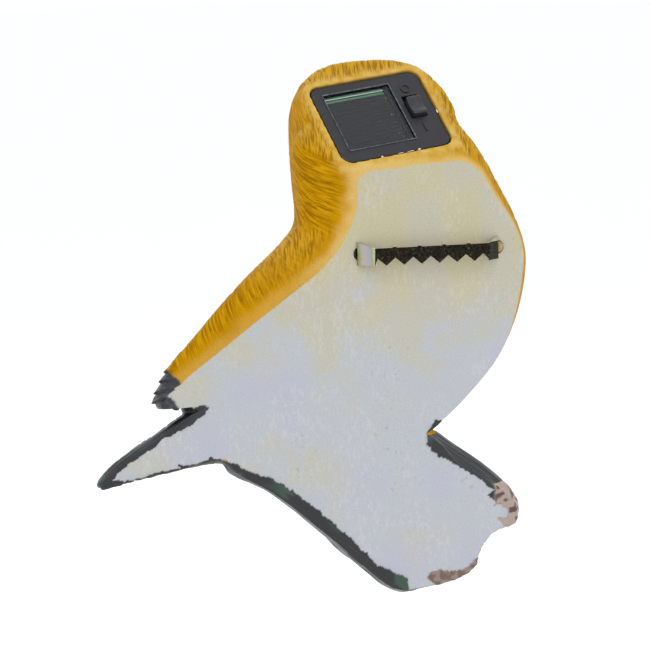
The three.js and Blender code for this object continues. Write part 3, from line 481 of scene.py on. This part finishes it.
comb = add(resin_material, "ShaderNodeAttribute", attribute_name="comb")
parts_of = add(resin_material, "ShaderNodeSeparateColor", {"Color": comb.outputs["Color"]}).outputs
shares = [parts_of["Red"], parts_of["Green"], parts_of["Blue"], comb.outputs["Alpha"]]
runs = [
    combed((0, 0.78, -0.626), (0, 0.626, 0.78), 9.0, 0.72),
    combed((0.444, 0.833, -0.333), (-0.664, 0.553, 0.498), 9.0, 0.72),
    combed((0.2, 0.75, -0.63), (0.98, -0.15, 0.13), 6.0, 0.7),
    combed((0.15, 0.1, -0.98), (0.98, 0.0, 0.15), 8.0, 0.9),
]
total = None
for share, run in zip(shares, runs):
    settings = {0: share, 1: run}
    if total:
        settings[2] = total
    total = add(resin_material, "ShaderNodeMath", settings,
                operation="MULTIPLY_ADD" if total else "MULTIPLY").outputs["Value"]
feathered = add(resin_material, "ShaderNodeAttribute", attribute_name="feathered").outputs["Fac"]
incised = add(resin_material, "ShaderNodeMapRange", {
    "Value": total, "From Min": 0.53, "From Max": 0.36, "To Max": 0.72}).outputs["Result"]
incised = add(resin_material, "ShaderNodeMath", {
    0: incised, 1: feathered}, operation="MULTIPLY").outputs["Value"]
# Painted highlight: the raised ridges between the strokes are painted paler.
stroke_highlight = add(resin_material, "ShaderNodeMapRange", {
    "Value": total, "From Min": 0.52, "From Max": 0.68, "To Max": 0.45}).outputs["Result"]
stroke_highlight = add(resin_material, "ShaderNodeMath", {
    0: stroke_highlight, 1: feathered}, operation="MULTIPLY").outputs["Value"]
lit = add(resin_material, "ShaderNodeMix", {
    "Factor": stroke_highlight, "A": painted, "B": colour("#D3A012")}, data_type="RGBA")
# Painted shade: the incised strokes are painted darker; the same mask cuts them in as bump.
stroke_shade = add(resin_material, "ShaderNodeMix", {
    "Factor": incised, "A": lit.outputs["Result"], "B": colour("#865900")}, data_type="RGBA")
link(add(resin_material, "ShaderNodeVectorMath", {
    0: stroke_shade.outputs["Result"], "Scale": shade}, operation="SCALE").outputs["Vector"],
     shader.inputs["Base Color"])
link(add(resin_material, "ShaderNodeAttribute", attribute_name="coat").outputs["Fac"],
     shader.inputs["Roughness"])
link(add(resin_material, "ShaderNodeAttribute", attribute_name="sheen").outputs["Fac"],
     shader.inputs["Specular IOR Level"])
toothed = add(resin_material, "ShaderNodeBump", {
    "Height": fleck, "Strength": 0.35, "Distance": 0.0002}).outputs["Normal"]
link(add(resin_material, "ShaderNodeBump", {
    "Height": incised, "Strength": 0.8, "Distance": 0.0003, "Normal": toothed},
     invert=True).outputs["Normal"], shader.inputs["Normal"])

casting.polygons.foreach_set("use_smooth", np.ones(len(casting.polygons), dtype=bool))
casting.materials.clear()
casting.materials.append(resin_material)


def saw(mesh, point, keep, name=None):
    """The closed part of a mesh on one side of a flat cut: through point (mm), towards keep."""
    block = bmesh.new()
    block.from_mesh(mesh)
    made = bmesh.ops.bisect_plane(
        block, geom=block.verts[:] + block.edges[:] + block.faces[:],
        plane_co=Vector(point) * MM, plane_no=Vector(keep), clear_inner=True, dist=1e-7)
    rim = [e for e in made["geom_cut"] if isinstance(e, bmesh.types.BMEdge)]
    for edge in rim:
        edge.smooth = False
    for face in bmesh.ops.holes_fill(block, edges=rim, sides=0)["faces"]:
        face.smooth = False
    data = bpy.data.meshes.new(name or "casting_block")
    block.to_mesh(data)
    block.free()
    data.materials.append(mesh.materials[0])
    if name:
        settle(name, data)
    return data


def settle(name, data, body="root"):
    """Puts a finished mesh in the scene, riding its CAD body."""
    piece = bpy.data.objects.new(name, data)
    bpy.context.collection.objects.link(piece)
    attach(piece, body)
    return piece


# The real casting is one piece. Its mesh is too fine to keep whole, so flat cuts part it into
# blocks that meet face to face, at these heights and at these distances across, in mm.
UP, DOWN, LEFT, RIGHT = (0, 0, 1), (0, 0, -1), (1, 0, 0), (-1, 0, 0)
neck_cut, belly_cut, perch_cut = (0, 0, 20), (0, 0, -26), (0, 0, -77)
head_split, body_split, tail_split, perch_split = (12, 0, 0), (28, 0, 0), (66, 0, 0), (24, 0, 0)
upper = saw(casting, neck_cut, UP)
saw(upper, head_split, RIGHT, "casting_head_right")
saw(upper, head_split, LEFT, "casting_head_left")
lower = saw(casting, neck_cut, DOWN)
middle = saw(lower, perch_cut, UP)
front = saw(middle, body_split, RIGHT)
saw(front, belly_cut, UP, "casting_breast")
saw(front, belly_cut, DOWN, "casting_belly")
rear = saw(middle, body_split, LEFT)
saw(rear, tail_split, RIGHT, "casting_wing")
saw(rear, tail_split, LEFT, "casting_tail")
perch = saw(lower, perch_cut, DOWN)
saw(perch, perch_split, RIGHT, "casting_perch_right")
saw(perch, perch_split, LEFT, "casting_perch_left")
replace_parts(bpy.data.objects["casting_breast"], "resin_casting")

# ---------------------------------------------------------------------------------------
# Feathers and leaves cast into the front: each is a low blade laid over the core, with a
# midrib and barbs. The wing has yellow coverts over black flight feathers with pale edges.


def blade(name, start, end, half_width, lift, tip_at, barbs, edge_hex, mid_hex, rib_hex):
    """A low leaf-shaped relief on the front, from start to end (x, z in mm), veined."""
    start, end = np.array(start, float), np.array(end, float)
    run = end - start
    length = np.linalg.norm(run)
    run /= length
    cross = np.array([-run[1], run[0]])
    across_count, along_count = 13, 44
    sink = 0.9  # how far the blade's underside is let into the core, mm
    made = bmesh.new()
    shade_layer = made.verts.layers.float_color.new("paint")
    rows = []
    edge, mid, rib = (np.array(colour(h)[:3]) for h in (edge_hex, mid_hex, rib_hex))
    for _ in ("upper", "under"):
        for i in range(along_count + 1):
            t = i / along_count
            if t < tip_at:
                width = half_width * (0.35 + 0.65 * math.sin(0.5 * math.pi * t / tip_at) ** 0.7)
            else:
                width = half_width * max(1 - ((t - tip_at) / (1 - tip_at)) ** 2.2, 0.0) ** 0.5
            width = max(width, 0.25)
            row = []
            for j in range(across_count):
                v = 2 * j / (across_count - 1) - 1
                spot = start + run * length * (t - 0.05 * abs(v) ** 1.5) + cross * width * v
                spot_3d = Vector((spot[0] - NAIL[0], -95, spot[1] - NAIL[2])) * MM
                hit = surface.ray_cast(spot_3d, Vector((0, 1, 0)))[0]
                depth = hit.y / MM if hit else None
                row.append([spot, depth, v, t])
            rows.append(row)
    depths = [cell[1] for row in rows for cell in row if cell[1] is not None]
    if not depths:
        made.free()
        return
    grid = []
    for k, row in enumerate(rows):
        top = k <= along_count
        line = []
        known = [cell[1] for cell in row if cell[1] is not None]
        spare = max(known) if known else max(depths)
        for spot, depth, v, t in row:
            depth = spare if depth is None else depth
            barb = 0.5 + 0.5 * math.cos(2 * math.pi * barbs * (t - 0.10 * abs(v)))
            rise = lift * (1 - 0.55 * abs(v) ** 2.4) * min(1, 0.35 + t * 3)
            rise += 0.18 * barb * (1 - abs(v)) - 0.30 * math.exp(-(v / 0.10) ** 2)
            out = depth - rise if top else depth + sink
            vertex = made.verts.new(
                ((spot[0] - NAIL[0]) * MM, out * MM, (spot[1] - NAIL[2]) * MM))
            tone = mid + (edge - mid) * smooth(0.72, 0.95, np.abs(v))
            tone = tone + (rib - tone) * math.exp(-(v / 0.13) ** 2)
            tone = tone * (0.75 + 0.35 * (1 - barb))
            vertex[shade_layer] = (*tone, 1)
            line.append(vertex)
        grid.append(line)
    upper, under = grid[:along_count + 1], grid[along_count + 1:]
    for i in range(along_count):
        for j in range(across_count - 1):
            made.faces.new((upper[i][j], upper[i][j + 1], upper[i + 1][j + 1], upper[i + 1][j]))
            made.faces.new((under[i][j], under[i + 1][j], under[i + 1][j + 1], under[i][j + 1]))
        for j in (0, across_count - 1):
            made.faces.new((upper[i][j], upper[i + 1][j], under[i + 1][j], under[i][j]))
    for i in (0, along_count):
        for j in range(across_count - 1):
            made.faces.new((upper[i][j], upper[i][j + 1], under[i][j + 1], under[i][j]))
    bmesh.ops.recalc_face_normals(made, faces=made.faces)
    data = bpy.data.meshes.new(name)
    made.to_mesh(data)
    made.free()
    data.shade_smooth()
    data.materials.append(blade_material)
    settle(name, data)


# The same satin paint, thicker: it pools between the barbs and keeps the bristle marks.
blade_material, shader = new_material("acrylic_painted_relief", 0.42)
link = blade_material.node_tree.links.new
place = add(blade_material, "ShaderNodeTexCoord").outputs["Object"]
bristles = add(blade_material, "ShaderNodeTexNoise", {
    "Vector": place, "Scale": 1300.0, "Detail": 3.0}).outputs["Fac"]
shade = add(blade_material, "ShaderNodeMapRange", {
    "Value": bristles, "From Min": 0.3, "From Max": 0.7,
    "To Min": 0.8, "To Max": 1.15}).outputs["Result"]
painted = add(blade_material, "ShaderNodeAttribute", attribute_name="paint").outputs["Color"]
link(add(blade_material, "ShaderNodeVectorMath", {
    0: painted, "Scale": shade}, operation="SCALE").outputs["Vector"], shader.inputs["Base Color"])
link(add(blade_material, "ShaderNodeBump", {
    "Height": bristles, "Strength": 0.4, "Distance": 0.0002}).outputs["Normal"],
     shader.inputs["Normal"])

# Each feather's edge, web and quill, in that order, and each leaf's edge, blade and vein.
BLACK_FEATHER = ("#B9B6A8", "#1E1F24", "#08080A")
YELLOW_FEATHER = ("#E3BC4B", "#C28E08", "#7A5202")
GREEN_LEAF = ("#15201A", "#24402F", "#5C7A58")
for k in range(6):
    blade(f"flight_feather_{k + 1}", (58 + 2.2 * k, -14 - 5.2 * k),
          (112.5 - 2.6 * abs(k - 4), -38.5 - 2.9 * k), 3.4, 1.5 - 0.12 * k, 0.82, 26,
          *BLACK_FEATHER)
for k in range(5):
    blade(f"secondary_feather_{k + 1}", (34 + 4 * k, -8 - 5.5 * k), (80 + 2.5 * k, -18 - 8.2 * k),
          4.2, 2.2 - 0.12 * k, 0.8, 20, *BLACK_FEATHER)
for k in range(6):
    blade(f"covert_feather_{k + 1}", (20 + 3.4 * k, 0 - 6.2 * k), (55 + 2.6 * k, -9 - 7.4 * k),
          5.2, 2.9 - 0.1 * k, 0.72, 14, *YELLOW_FEATHER)
for k, (start, end, half) in enumerate([
        ((88, -62), (34, -106), 13), ((62, -96), (6, -104), 10), ((50, -110), (22, -78), 9),
        ((4, -100), (-30, -104), 8), ((16, -112), (22, -136), 7)]):
    blade(f"leaf_blade_{k + 1}", start, end, half, 1.6, 0.45, 9, *GREEN_LEAF)

# ---------------------------------------------------------------------------------------
# The module's housing: black ABS, injection moulded in a fine spark-eroded texture, sprung
# into its pocket over clear sealant. The window has a narrow polished lip, and specks of the
# glue that holds the module have oozed out along two of its sides.
# The eroded texture scatters light to a dull charcoal, with handling smears a little shinier.
abs_material, shader = new_material("spark_textured_black_abs", 0.42)
place = add(abs_material, "ShaderNodeTexCoord").outputs["Object"]
texture_grain = add(abs_material, "ShaderNodeTexNoise", {
    "Vector": place, "Scale": 1800.0, "Detail": 3.0}).outputs["Fac"]
smear = add(abs_material, "ShaderNodeTexNoise", {
    "Vector": place, "Scale": 160.0, "Detail": 5.0, "Roughness": 0.65}).outputs["Fac"]
abs_material.node_tree.links.new(
    ramp(abs_material, smear, (0.35, "#17161C"), (0.55, "#1C1B21"), (0.72, "#29282F")),
    shader.inputs["Base Color"])
abs_material.node_tree.links.new(
    add(abs_material, "ShaderNodeMapRange", {
        "Value": smear, "From Min": 0.3, "From Max": 0.7,
        "To Min": 0.3, "To Max": 0.55}).outputs["Result"],
    shader.inputs["Roughness"])
abs_material.node_tree.links.new(
    add(abs_material, "ShaderNodeBump", {
        "Height": texture_grain, "Strength": 0.45, "Distance": 0.0002}).outputs["Normal"],
    shader.inputs["Normal"])


def refinish(material, *nodes):
    """Gives carried-over pieces their finish."""
    for name in nodes:
        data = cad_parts[name].data
        data.materials.clear()
        data.materials.append(material)


refinish(abs_material, "module_bezel", "module_tub")


def on_module(u, v, n):
    """The place, in metres, of a point given in the module's own millimetres."""
    point = MODULE_AT - NAIL + module_across * u + module_up * v + module_out * n
    return Vector(point) * MM


# The window's edge comes smooth from the mould; it is coloured a paler grey than the housing, a
# painted highlight for the thin pale line of light it catches.
lip_highlight_material, shader = new_material("pale_painted_highlight_abs_edge", 0.25)
place = add(lip_highlight_material, "ShaderNodeTexCoord").outputs["Object"]
highlight_mottle = add(lip_highlight_material, "ShaderNodeTexNoise", {
    "Vector": place, "Scale": 700.0, "Detail": 4.0}).outputs["Fac"]
lip_highlight_material.node_tree.links.new(
    ramp(lip_highlight_material, highlight_mottle, (0.35, "#383A42"), (0.68, "#73767F")), shader.inputs["Base Color"])
lip = bmesh.new()
rings = []
corners = [(-20.2, -14.2), (10.2, -14.2), (10.2, 15.4), (-20.2, 15.4)]  # the window, u and v
for inset, n in ((-0.26, 0.36), (-0.08, 0.39), (0.12, 0.24), (0.12, -0.05), (-0.26, 0.05)):
    rings.append([lip.verts.new(on_module(
        u + inset * (1 if u < 0 else -1), v + inset * (1 if v < 0 else -1), n))
        for u, v in corners])
for a, b in zip(rings, rings[1:] + rings[:1]):
    for i in range(4):
        lip.faces.new((a[i], a[(i + 1) % 4], b[(i + 1) % 4], b[i]))
bmesh.ops.recalc_face_normals(lip, faces=lip.faces)
bmesh.ops.bevel(lip, geom=[e for e in lip.edges if e.calc_face_angle(0) > 0.5], offset=0.04 * MM,
                affect="EDGES", segments=2, profile=0.5, material=-1)
lip_data = bpy.data.meshes.new("window_lip")
lip.to_mesh(lip_data)
lip.free()
lip_data.materials.append(lip_highlight_material)
settle("window_lip", lip_data)

# Glue dries to small glossy, cloudy beads that read as white specks.
glue_material, shader = new_material("dried_clear_glue", 0.2)
place = add(glue_material, "ShaderNodeTexCoord").outputs["Object"]
haze = add(glue_material, "ShaderNodeTexNoise", {
    "Vector": place, "Scale": 1200.0, "Detail": 2.0}).outputs["Fac"]
glue_material.node_tree.links.new(
    ramp(glue_material, haze, (0.35, "#CFC8B4"), (0.6, "#F4F1E8")), shader.inputs["Base Color"])
LOWER_SIDE = -15  # beads below this v lie along the module's lower side
for k, (u, v, length, thick) in enumerate([
        (25.0, -2.8, 0.9, 0.3), (9.0, -19.9, 0.7, 0.32), (5.0, -20.0, 1.6, 0.14),
        (0.5, -20.0, 1.2, 0.12), (-8.2, -20.1, 0.4, 0.42)]):
    blob = bmesh.new()
    bmesh.ops.create_icosphere(blob, subdivisions=3, radius=1.0)
    shape = np.array([v.co for v in blob.verts])
    lump = 1 + 0.35 * (grain(shape * 1.5 + k * 7, 1.0, 40) - 0.5)
    for vertex, swell in zip(blob.verts, lump):
        c = vertex.co * swell
        wide, high = (length, thick) if v < LOWER_SIDE else (thick, length)
        vertex.co = on_module(u + c.x * wide, v + c.y * high, 0.1 + c.z * thick)
    bmesh.ops.recalc_face_normals(blob, faces=blob.faces)
    data = bpy.data.meshes.new(f"glue_bead_{k + 1}")
    blob.to_mesh(data)
    blob.free()
    data.shade_smooth()
    data.materials.append(glue_material)
    settle(f"glue_bead_{k + 1}", data)

# The switch knob: a separate ABS moulding, rubbed to a satin on its thumb face.
knob_material, shader = new_material("satin_black_abs_knob", 0.35)
place = add(knob_material, "ShaderNodeTexCoord").outputs["Object"]
wear_and_highlight = add(knob_material, "ShaderNodeTexNoise", {
    "Vector": place, "Scale": 500.0, "Detail": 4.0}).outputs["Fac"]
knob_material.node_tree.links.new(
    ramp(knob_material, wear_and_highlight, (0.3, "#222226"), (0.7, "#2E2E33")), shader.inputs["Base Color"])
knob_material.node_tree.links.new(
    add(knob_material, "ShaderNodeMapRange", {
        "Value": wear_and_highlight, "To Min": 0.25, "To Max": 0.45}).outputs["Result"],
    shader.inputs["Roughness"])
refinish(knob_material, "switch_knob")
knob_rim = bmesh.new()
knob_rim.from_mesh(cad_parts["switch_knob"].data)
bmesh.ops.remove_doubles(knob_rim, verts=knob_rim.verts, dist=1e-6)
bmesh.ops.dissolve_limit(knob_rim, angle_limit=0.02, verts=knob_rim.verts, edges=knob_rim.edges)
ABOVE_BEZEL = 0.8 * MM
sharp = [e for e in knob_rim.edges if e.is_manifold and e.calc_face_angle(0) > 0.5 and any(
    (v.co - on_module(0, 0, 0)).dot(Vector(module_out)) > ABOVE_BEZEL for v in e.verts)]
bmesh.ops.bevel(knob_rim, geom=sharp, offset=0.25 * MM, affect="EDGES", segments=3,
                profile=0.5, material=-1, clamp_overlap=True)
knob_data = bpy.data.meshes.new("thumb_knob")
knob_rim.to_mesh(knob_data)
knob_rim.free()
knob_data.materials.append(knob_material)
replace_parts(settle("thumb_knob", knob_data, "knob"), "switch_knob")

# ---------------------------------------------------------------------------------------
# The solar panel: a dark coated cell on a green glass-epoxy board, with its bus strip left
# bare along the top between two tinned lines, a black strip down one side that is painted
# shade for the gap there, and a film of clear cast epoxy over all.
# Solder mask: two bright green bands on a dark green, crossed by the tinned bus line.
board_material, shader = new_material("green_solder_mask", 0.3)
place = add(board_material, "ShaderNodeTexCoord").outputs["Object"]
up_slope = add(board_material, "ShaderNodeVectorMath", {
    0: place, 1: tuple(module_up)}, operation="DOT_PRODUCT").outputs["Value"]
board_low = float((MODULE_AT - NAIL) @ module_up) * MM
band = add(board_material, "ShaderNodeMapRange", {
    "Value": up_slope, "From Min": board_low + 11.4 * MM, "From Max": board_low + 15.2 * MM})
banded = ramp(board_material, band.outputs["Result"],
              (0.0, "#1B3326"), (0.08, "#24452F"), (0.12, "#5E9675"), (0.36, "#6BA483"),
              (0.42, "#1E3D2C"), (0.60, "#234632"), (0.66, "#5C9372"), (0.86, "#5C9372"),
              (0.92, "#17261E"))
weave = add(board_material, "ShaderNodeTexNoise", {
    "Vector": place, "Scale": 900.0, "Detail": 3.0}).outputs["Fac"]
dull = add(board_material, "ShaderNodeMapRange", {
    "Value": weave, "To Min": 0.4, "To Max": 0.8}).outputs["Result"]
board_material.node_tree.links.new(add(board_material, "ShaderNodeVectorMath", {
    0: banded, "Scale": dull}, operation="SCALE").outputs["Vector"],
    shader.inputs["Base Color"])
refinish(board_material, "solar_board")

# Coated silicon is nearly black, with faint collector lines 1.9 mm apart and a little dust.
cell_material, shader = new_material("coated_silicon", 0.22)
place = add(cell_material, "ShaderNodeTexCoord").outputs["Object"]
up_slope = add(cell_material, "ShaderNodeVectorMath", {
    0: place, 1: tuple(module_up * 520)}, operation="DOT_PRODUCT").outputs["Value"]
finger = add(cell_material, "ShaderNodeMath", {0: up_slope}, operation="FRACT").outputs["Value"]
lined = ramp(cell_material, finger, (0.0, "#2E2F34"), (0.07, "#1A1B1F"), (0.93, "#1A1B1F"),
             (1.0, "#2E2F34"))
dust = add(cell_material, "ShaderNodeTexNoise", {
    "Vector": place, "Scale": 650.0, "Detail": 2.0}).outputs["Fac"]
speck = add(cell_material, "ShaderNodeMapRange", {
    "Value": dust, "From Min": 0.72, "From Max": 0.78}).outputs["Result"]
cell_material.node_tree.links.new(add(cell_material, "ShaderNodeMix", {
    "Factor": speck, "A": lined, "B": colour("#8A8C90")}, data_type="RGBA").outputs["Result"],
    shader.inputs["Base Color"])
refinish(cell_material, "silicon_wafer")

# A matt black strip down the cell's side, painted shade for the shadowed gap there, with pale lint
# caught in its ragged edge.
gap_shade_material, shader = new_material("black_gap_shade", 0.45)
place = add(gap_shade_material, "ShaderNodeTexCoord").outputs["Object"]
lint = add(gap_shade_material, "ShaderNodeTexNoise", {
    "Vector": place, "Scale": 1100.0, "Detail": 3.0}).outputs["Fac"]
gap_shade_material.node_tree.links.new(
    ramp(gap_shade_material, lint, (0.5, "#141416"), (0.7, "#2A2A2D"), (0.78, "#77777A")),
    shader.inputs["Base Color"])
gap_strip = bmesh.new()
bmesh.ops.create_cube(gap_strip, size=1.0)
long_edges = [e for e in gap_strip.edges if abs((e.verts[0].co - e.verts[1].co).y) > 0.5]
bmesh.ops.subdivide_edges(gap_strip, edges=long_edges, cuts=24, use_grid_fill=True)
for vertex in gap_strip.verts:
    c = vertex.co
    ragged = 0.12 * math.sin(c.y * 41) + 0.08 * math.sin(c.y * 97)
    vertex.co = on_module(8.65 + c.x * 2.5 + ragged * (c.x < 0),
                          0.65 + c.y * 28.8, -0.93 + c.z * 0.36)
bmesh.ops.recalc_face_normals(gap_strip, faces=gap_strip.faces)
gap_strip_data = bpy.data.meshes.new("panel_gap_shade")
gap_strip.to_mesh(gap_strip_data)
gap_strip.free()
gap_strip_data.materials.append(gap_shade_material)
settle("panel_gap_shade", gap_strip_data)

# The cast film is clear and almost flat: it adds only a soft gloss over the cell.
cover_material, shader = new_material("clear_cast_epoxy", 0.12, Alpha=0.03, IOR=1.45)
place = add(cover_material, "ShaderNodeTexCoord").outputs["Object"]
ripple = add(cover_material, "ShaderNodeTexNoise", {
    "Vector": place, "Scale": 130.0, "Detail": 2.0}).outputs["Fac"]
cover_material.node_tree.links.new(
    ramp(cover_material, ripple, (0.3, "#2C302E"), (0.7, "#3C423F")), shader.inputs["Base Color"])
cover_material.node_tree.links.new(
    add(cover_material, "ShaderNodeBump", {
        "Height": ripple, "Strength": 0.06, "Distance": 0.0003}).outputs["Normal"],
    shader.inputs["Normal"])
refinish(cover_material, "panel_cover")

# ---------------------------------------------------------------------------------------
# The sawtooth hanger: strip steel, stamped and bent, with a thin yellow zinc passivate. The
# flat strip is coloured dark, a painted reflection of a dark room, and is scratched; the bent end
# shows green and violet, and a paler line along the strip's top edge is a painted highlight.
# The scratches are drawn about twice as coarse as the real ones, which would be lost.
zinc_material, shader = new_material("yellow_passivated_zinc", 0.3, 1.0)
link = zinc_material.node_tree.links.new
place = add(zinc_material, "ShaderNodeTexCoord").outputs["Object"]
facing = add(zinc_material, "ShaderNodeNewGeometry").outputs["True Normal"]
# Faces turned to the strip's flat side take the dark colour: a painted reflection of a dark room.
toward_dark_reflection = add(zinc_material, "ShaderNodeVectorMath", {
    0: facing, 1: (-0.5, 0.866, 0.0)}, operation="DOT_PRODUCT").outputs["Value"]
rear = add(zinc_material, "ShaderNodeMapRange", {
    "Value": toward_dark_reflection, "From Min": 0.6, "From Max": 0.8}).outputs["Result"]
scratch = add(zinc_material, "ShaderNodeTexNoise", {
    "Vector": place, "Scale": 900.0, "Detail": 4.0, "Distortion": 1.2}).outputs["Fac"]
pit = add(zinc_material, "ShaderNodeTexNoise", {
    "Vector": place, "Scale": 1700.0, "Detail": 3.0}).outputs["Fac"]
# Painted reflection: the strip's face is coloured dark, with paler scratches.
scratched_dark_reflection = ramp(zinc_material, scratch, (0.38, "#1A1814"), (0.54, "#2A2720"),
                  (0.66, "#3C382E"), (0.78, "#8C8874"))
across_end = add(zinc_material, "ShaderNodeSeparateXYZ", {"Vector": place}).outputs["X"]
sweep = add(zinc_material, "ShaderNodeMapRange", {
    "Value": across_end, "From Min": 0.0305, "From Max": 0.0225}).outputs["Result"]
mottle = add(zinc_material, "ShaderNodeTexNoise", {
    "Vector": place, "Scale": 260.0, "Detail": 3.0}).outputs["Fac"]
sweep = add(zinc_material, "ShaderNodeMath", {
    0: mottle, 1: 0.3, 2: sweep}, operation="MULTIPLY_ADD").outputs["Value"]
film = ramp(zinc_material, sweep, (0.1, "#6E6840"), (0.25, "#98966E"), (0.4, "#AEB098"),
            (0.55, "#B8A8B0"), (0.7, "#ABA6B4"), (0.85, "#9FAA78"), (1.0, "#D6D0B8"))
turn = math.radians(2.6)  # the hanger is set this far out of level
strip_up = Vector((-math.sin(turn), 0.0, math.cos(turn)))
strip_top = max(strip_up.dot(v.co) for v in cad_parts["sawtooth_hanger"].data.vertices
                if abs(v.co.x) < 15 * MM)
height = add(zinc_material, "ShaderNodeVectorMath", {
    0: place, 1: tuple(strip_up)}, operation="DOT_PRODUCT").outputs["Value"]
# Painted highlight: a paler line along the strip's top edge.
wear_and_highlight = add(zinc_material, "ShaderNodeMapRange", {
    "Value": height, "From Min": strip_top - 0.5 * MM, "From Max": strip_top - 0.3 * MM,
    "To Max": 0.85}).outputs["Result"]
scratched_dark_reflection = add(zinc_material, "ShaderNodeMix", {
    "Factor": wear_and_highlight, "A": scratched_dark_reflection, "B": colour("#C9C3A4")}, data_type="RGBA").outputs["Result"]
link(add(zinc_material, "ShaderNodeMix", {
    "Factor": rear, "A": film, "B": scratched_dark_reflection}, data_type="RGBA").outputs["Result"],
     shader.inputs["Base Color"])
link(add(zinc_material, "ShaderNodeMapRange", {
    "Value": pit, "From Min": 0.3, "From Max": 0.7,
    "To Min": 0.2, "To Max": 0.5}).outputs["Result"], shader.inputs["Roughness"])
link(add(zinc_material, "ShaderNodeBump", {
    "Height": pit, "Strength": 0.3, "Distance": 0.0001}).outputs["Normal"], shader.inputs["Normal"])
stamped = bmesh.new()
stamped.from_mesh(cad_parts["sawtooth_hanger"].data)
bmesh.ops.remove_doubles(stamped, verts=stamped.verts, dist=1e-6)
bmesh.ops.dissolve_limit(stamped, angle_limit=0.02, verts=stamped.verts, edges=stamped.edges)
sharp = [e for e in stamped.edges if e.is_manifold and e.calc_face_angle(0) > 0.7]
bmesh.ops.bevel(stamped, geom=sharp, offset=0.13 * MM, affect="EDGES", segments=2,
                profile=0.5, material=-1, clamp_overlap=True)
hanger_data = bpy.data.meshes.new("stamped_hanger")
stamped.to_mesh(hanger_data)
stamped.free()
hanger_data.materials.append(zinc_material)
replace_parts(settle("stamped_hanger", hanger_data), "sawtooth_hanger")

# The cement in the two anchor bores: a dab that stands flush at one end of the hanger, and a
# sunk one at the other, where the bore is left open, coloured near black as painted shade.
cement_material, shader = new_material("set_resin_cement", 0.6)
place = add(cement_material, "ShaderNodeTexCoord").outputs["Object"]
lumps = add(cement_material, "ShaderNodeTexNoise", {
    "Vector": place, "Scale": 600.0, "Detail": 4.0}).outputs["Fac"]
cement_material.node_tree.links.new(
    ramp(cement_material, lumps, (0.3, "#8A774E"), (0.7, "#B09C6C")), shader.inputs["Base Color"])
refinish(cement_material, "anchor_plug_left")
# Painted shade: the sunk dab in the open bore is coloured near black.
sunk_shade_material, shader = new_material("sunk_cement_painted_shade", 0.7)
place = add(sunk_shade_material, "ShaderNodeTexCoord").outputs["Object"]
lumps = add(sunk_shade_material, "ShaderNodeTexNoise", {
    "Vector": place, "Scale": 600.0, "Detail": 4.0}).outputs["Fac"]
sunk_shade_material.node_tree.links.new(
    ramp(sunk_shade_material, lumps, (0.3, "#17130D"), (0.7, "#2E261A")), shader.inputs["Base Color"])
refinish(sunk_shade_material, "anchor_plug_right")
plug_low, plug_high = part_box("anchor_plug_left")
plug = (plug_low + plug_high) / 2
dab = bmesh.new()
bmesh.ops.create_icosphere(dab, subdivisions=3, radius=1.0)
for vertex in dab.verts:
    c = vertex.co
    c.x = min(c.x, 0.35)  # the hanger's end cuts the dab off flat
    vertex.co = Vector((plug.x + (c.x * 2.35 - 0.6) * MM, (c.y * 0.75 - 0.35) * MM,
                        plug.z + c.z * 2.3 * MM))
bmesh.ops.recalc_face_normals(dab, faces=dab.faces)
dab_data = bpy.data.meshes.new("cement_dab")
dab.to_mesh(dab_data)
dab.free()
dab_data.shade_smooth()
dab_data.materials.append(cement_material)
settle("cement_dab", dab_data)

# ---------------------------------------------------------------------------------------
# The pieces inside the module and behind the eyes: the driver board and its parts, the cell,
# the switch, the wires and the lamps. Each has its ordinary trade finish, in two near tones.


def inner_material(name, dark, light, grain_mm, roughness, metallic=0.0):
    """A finish for a piece inside the housing: two near tones in a fine grain."""
    material, shader = new_material(name, roughness, metallic)
    place = add(material, "ShaderNodeTexCoord").outputs["Object"]
    noise = add(material, "ShaderNodeTexNoise", {
        "Vector": place, "Scale": 1000.0 / grain_mm, "Detail": 3.0}).outputs["Fac"]
    material.node_tree.links.new(
        ramp(material, noise, (0.3, dark), (0.7, light)), shader.inputs["Base Color"])
    return material


refinish(inner_material("zinc_plated_screw_steel", "#8F8E86", "#B9B7AE", 0.4, 0.35, 1.0),
         "tub_screw_1", "tub_screw_2", "tub_screw_3", "tub_screw_4", "switch_can")
refinish(inner_material("cured_silicone_sealant", "#C9C9C2", "#E4E4DE", 1.5, 0.4), "sealant_bead")
refinish(inner_material("tinned_copper", "#A7ABA6", "#D0D3CE", 0.3, 0.25, 1.0),
         "cell_ribbon", "switch_contact", "switch_pin_1", "switch_pin_2", "switch_pin_3",
         "cell_contact_plus", "cell_contact_minus")
refinish(inner_material("paper_phenolic_board", "#6E4520", "#94602E", 0.8, 0.6),
         "circuit_board", "switch_base")
refinish(inner_material("moulded_black_epoxy", "#141416", "#212124", 0.3, 0.5), "driver_chip")
refinish(inner_material("lacquered_ferrite", "#4C7C55", "#6B9C74", 0.6, 0.4), "inductor")
refinish(inner_material("shrunk_green_sleeve", "#237A48", "#38965E", 2.0, 0.35), "nimh_cell")
refinish(inner_material("red_pvc_insulation", "#9C1D16", "#BD2C22", 0.5, 0.45),
         "solar_wire_red", "cell_wire_red", "lamp_wire_left_red", "lamp_wire_right_red")
refinish(inner_material("black_pvc_insulation", "#131315", "#1F1F22", 0.5, 0.45),
         "solar_wire_black", "cell_wire_black", "lamp_wire_left_black", "lamp_wire_right_black")
refinish(inner_material("water_clear_lamp_epoxy", "#E6DCC0", "#F4EEDC", 2.0, 0.1),
         "eye_lamp_left", "eye_lamp_right")
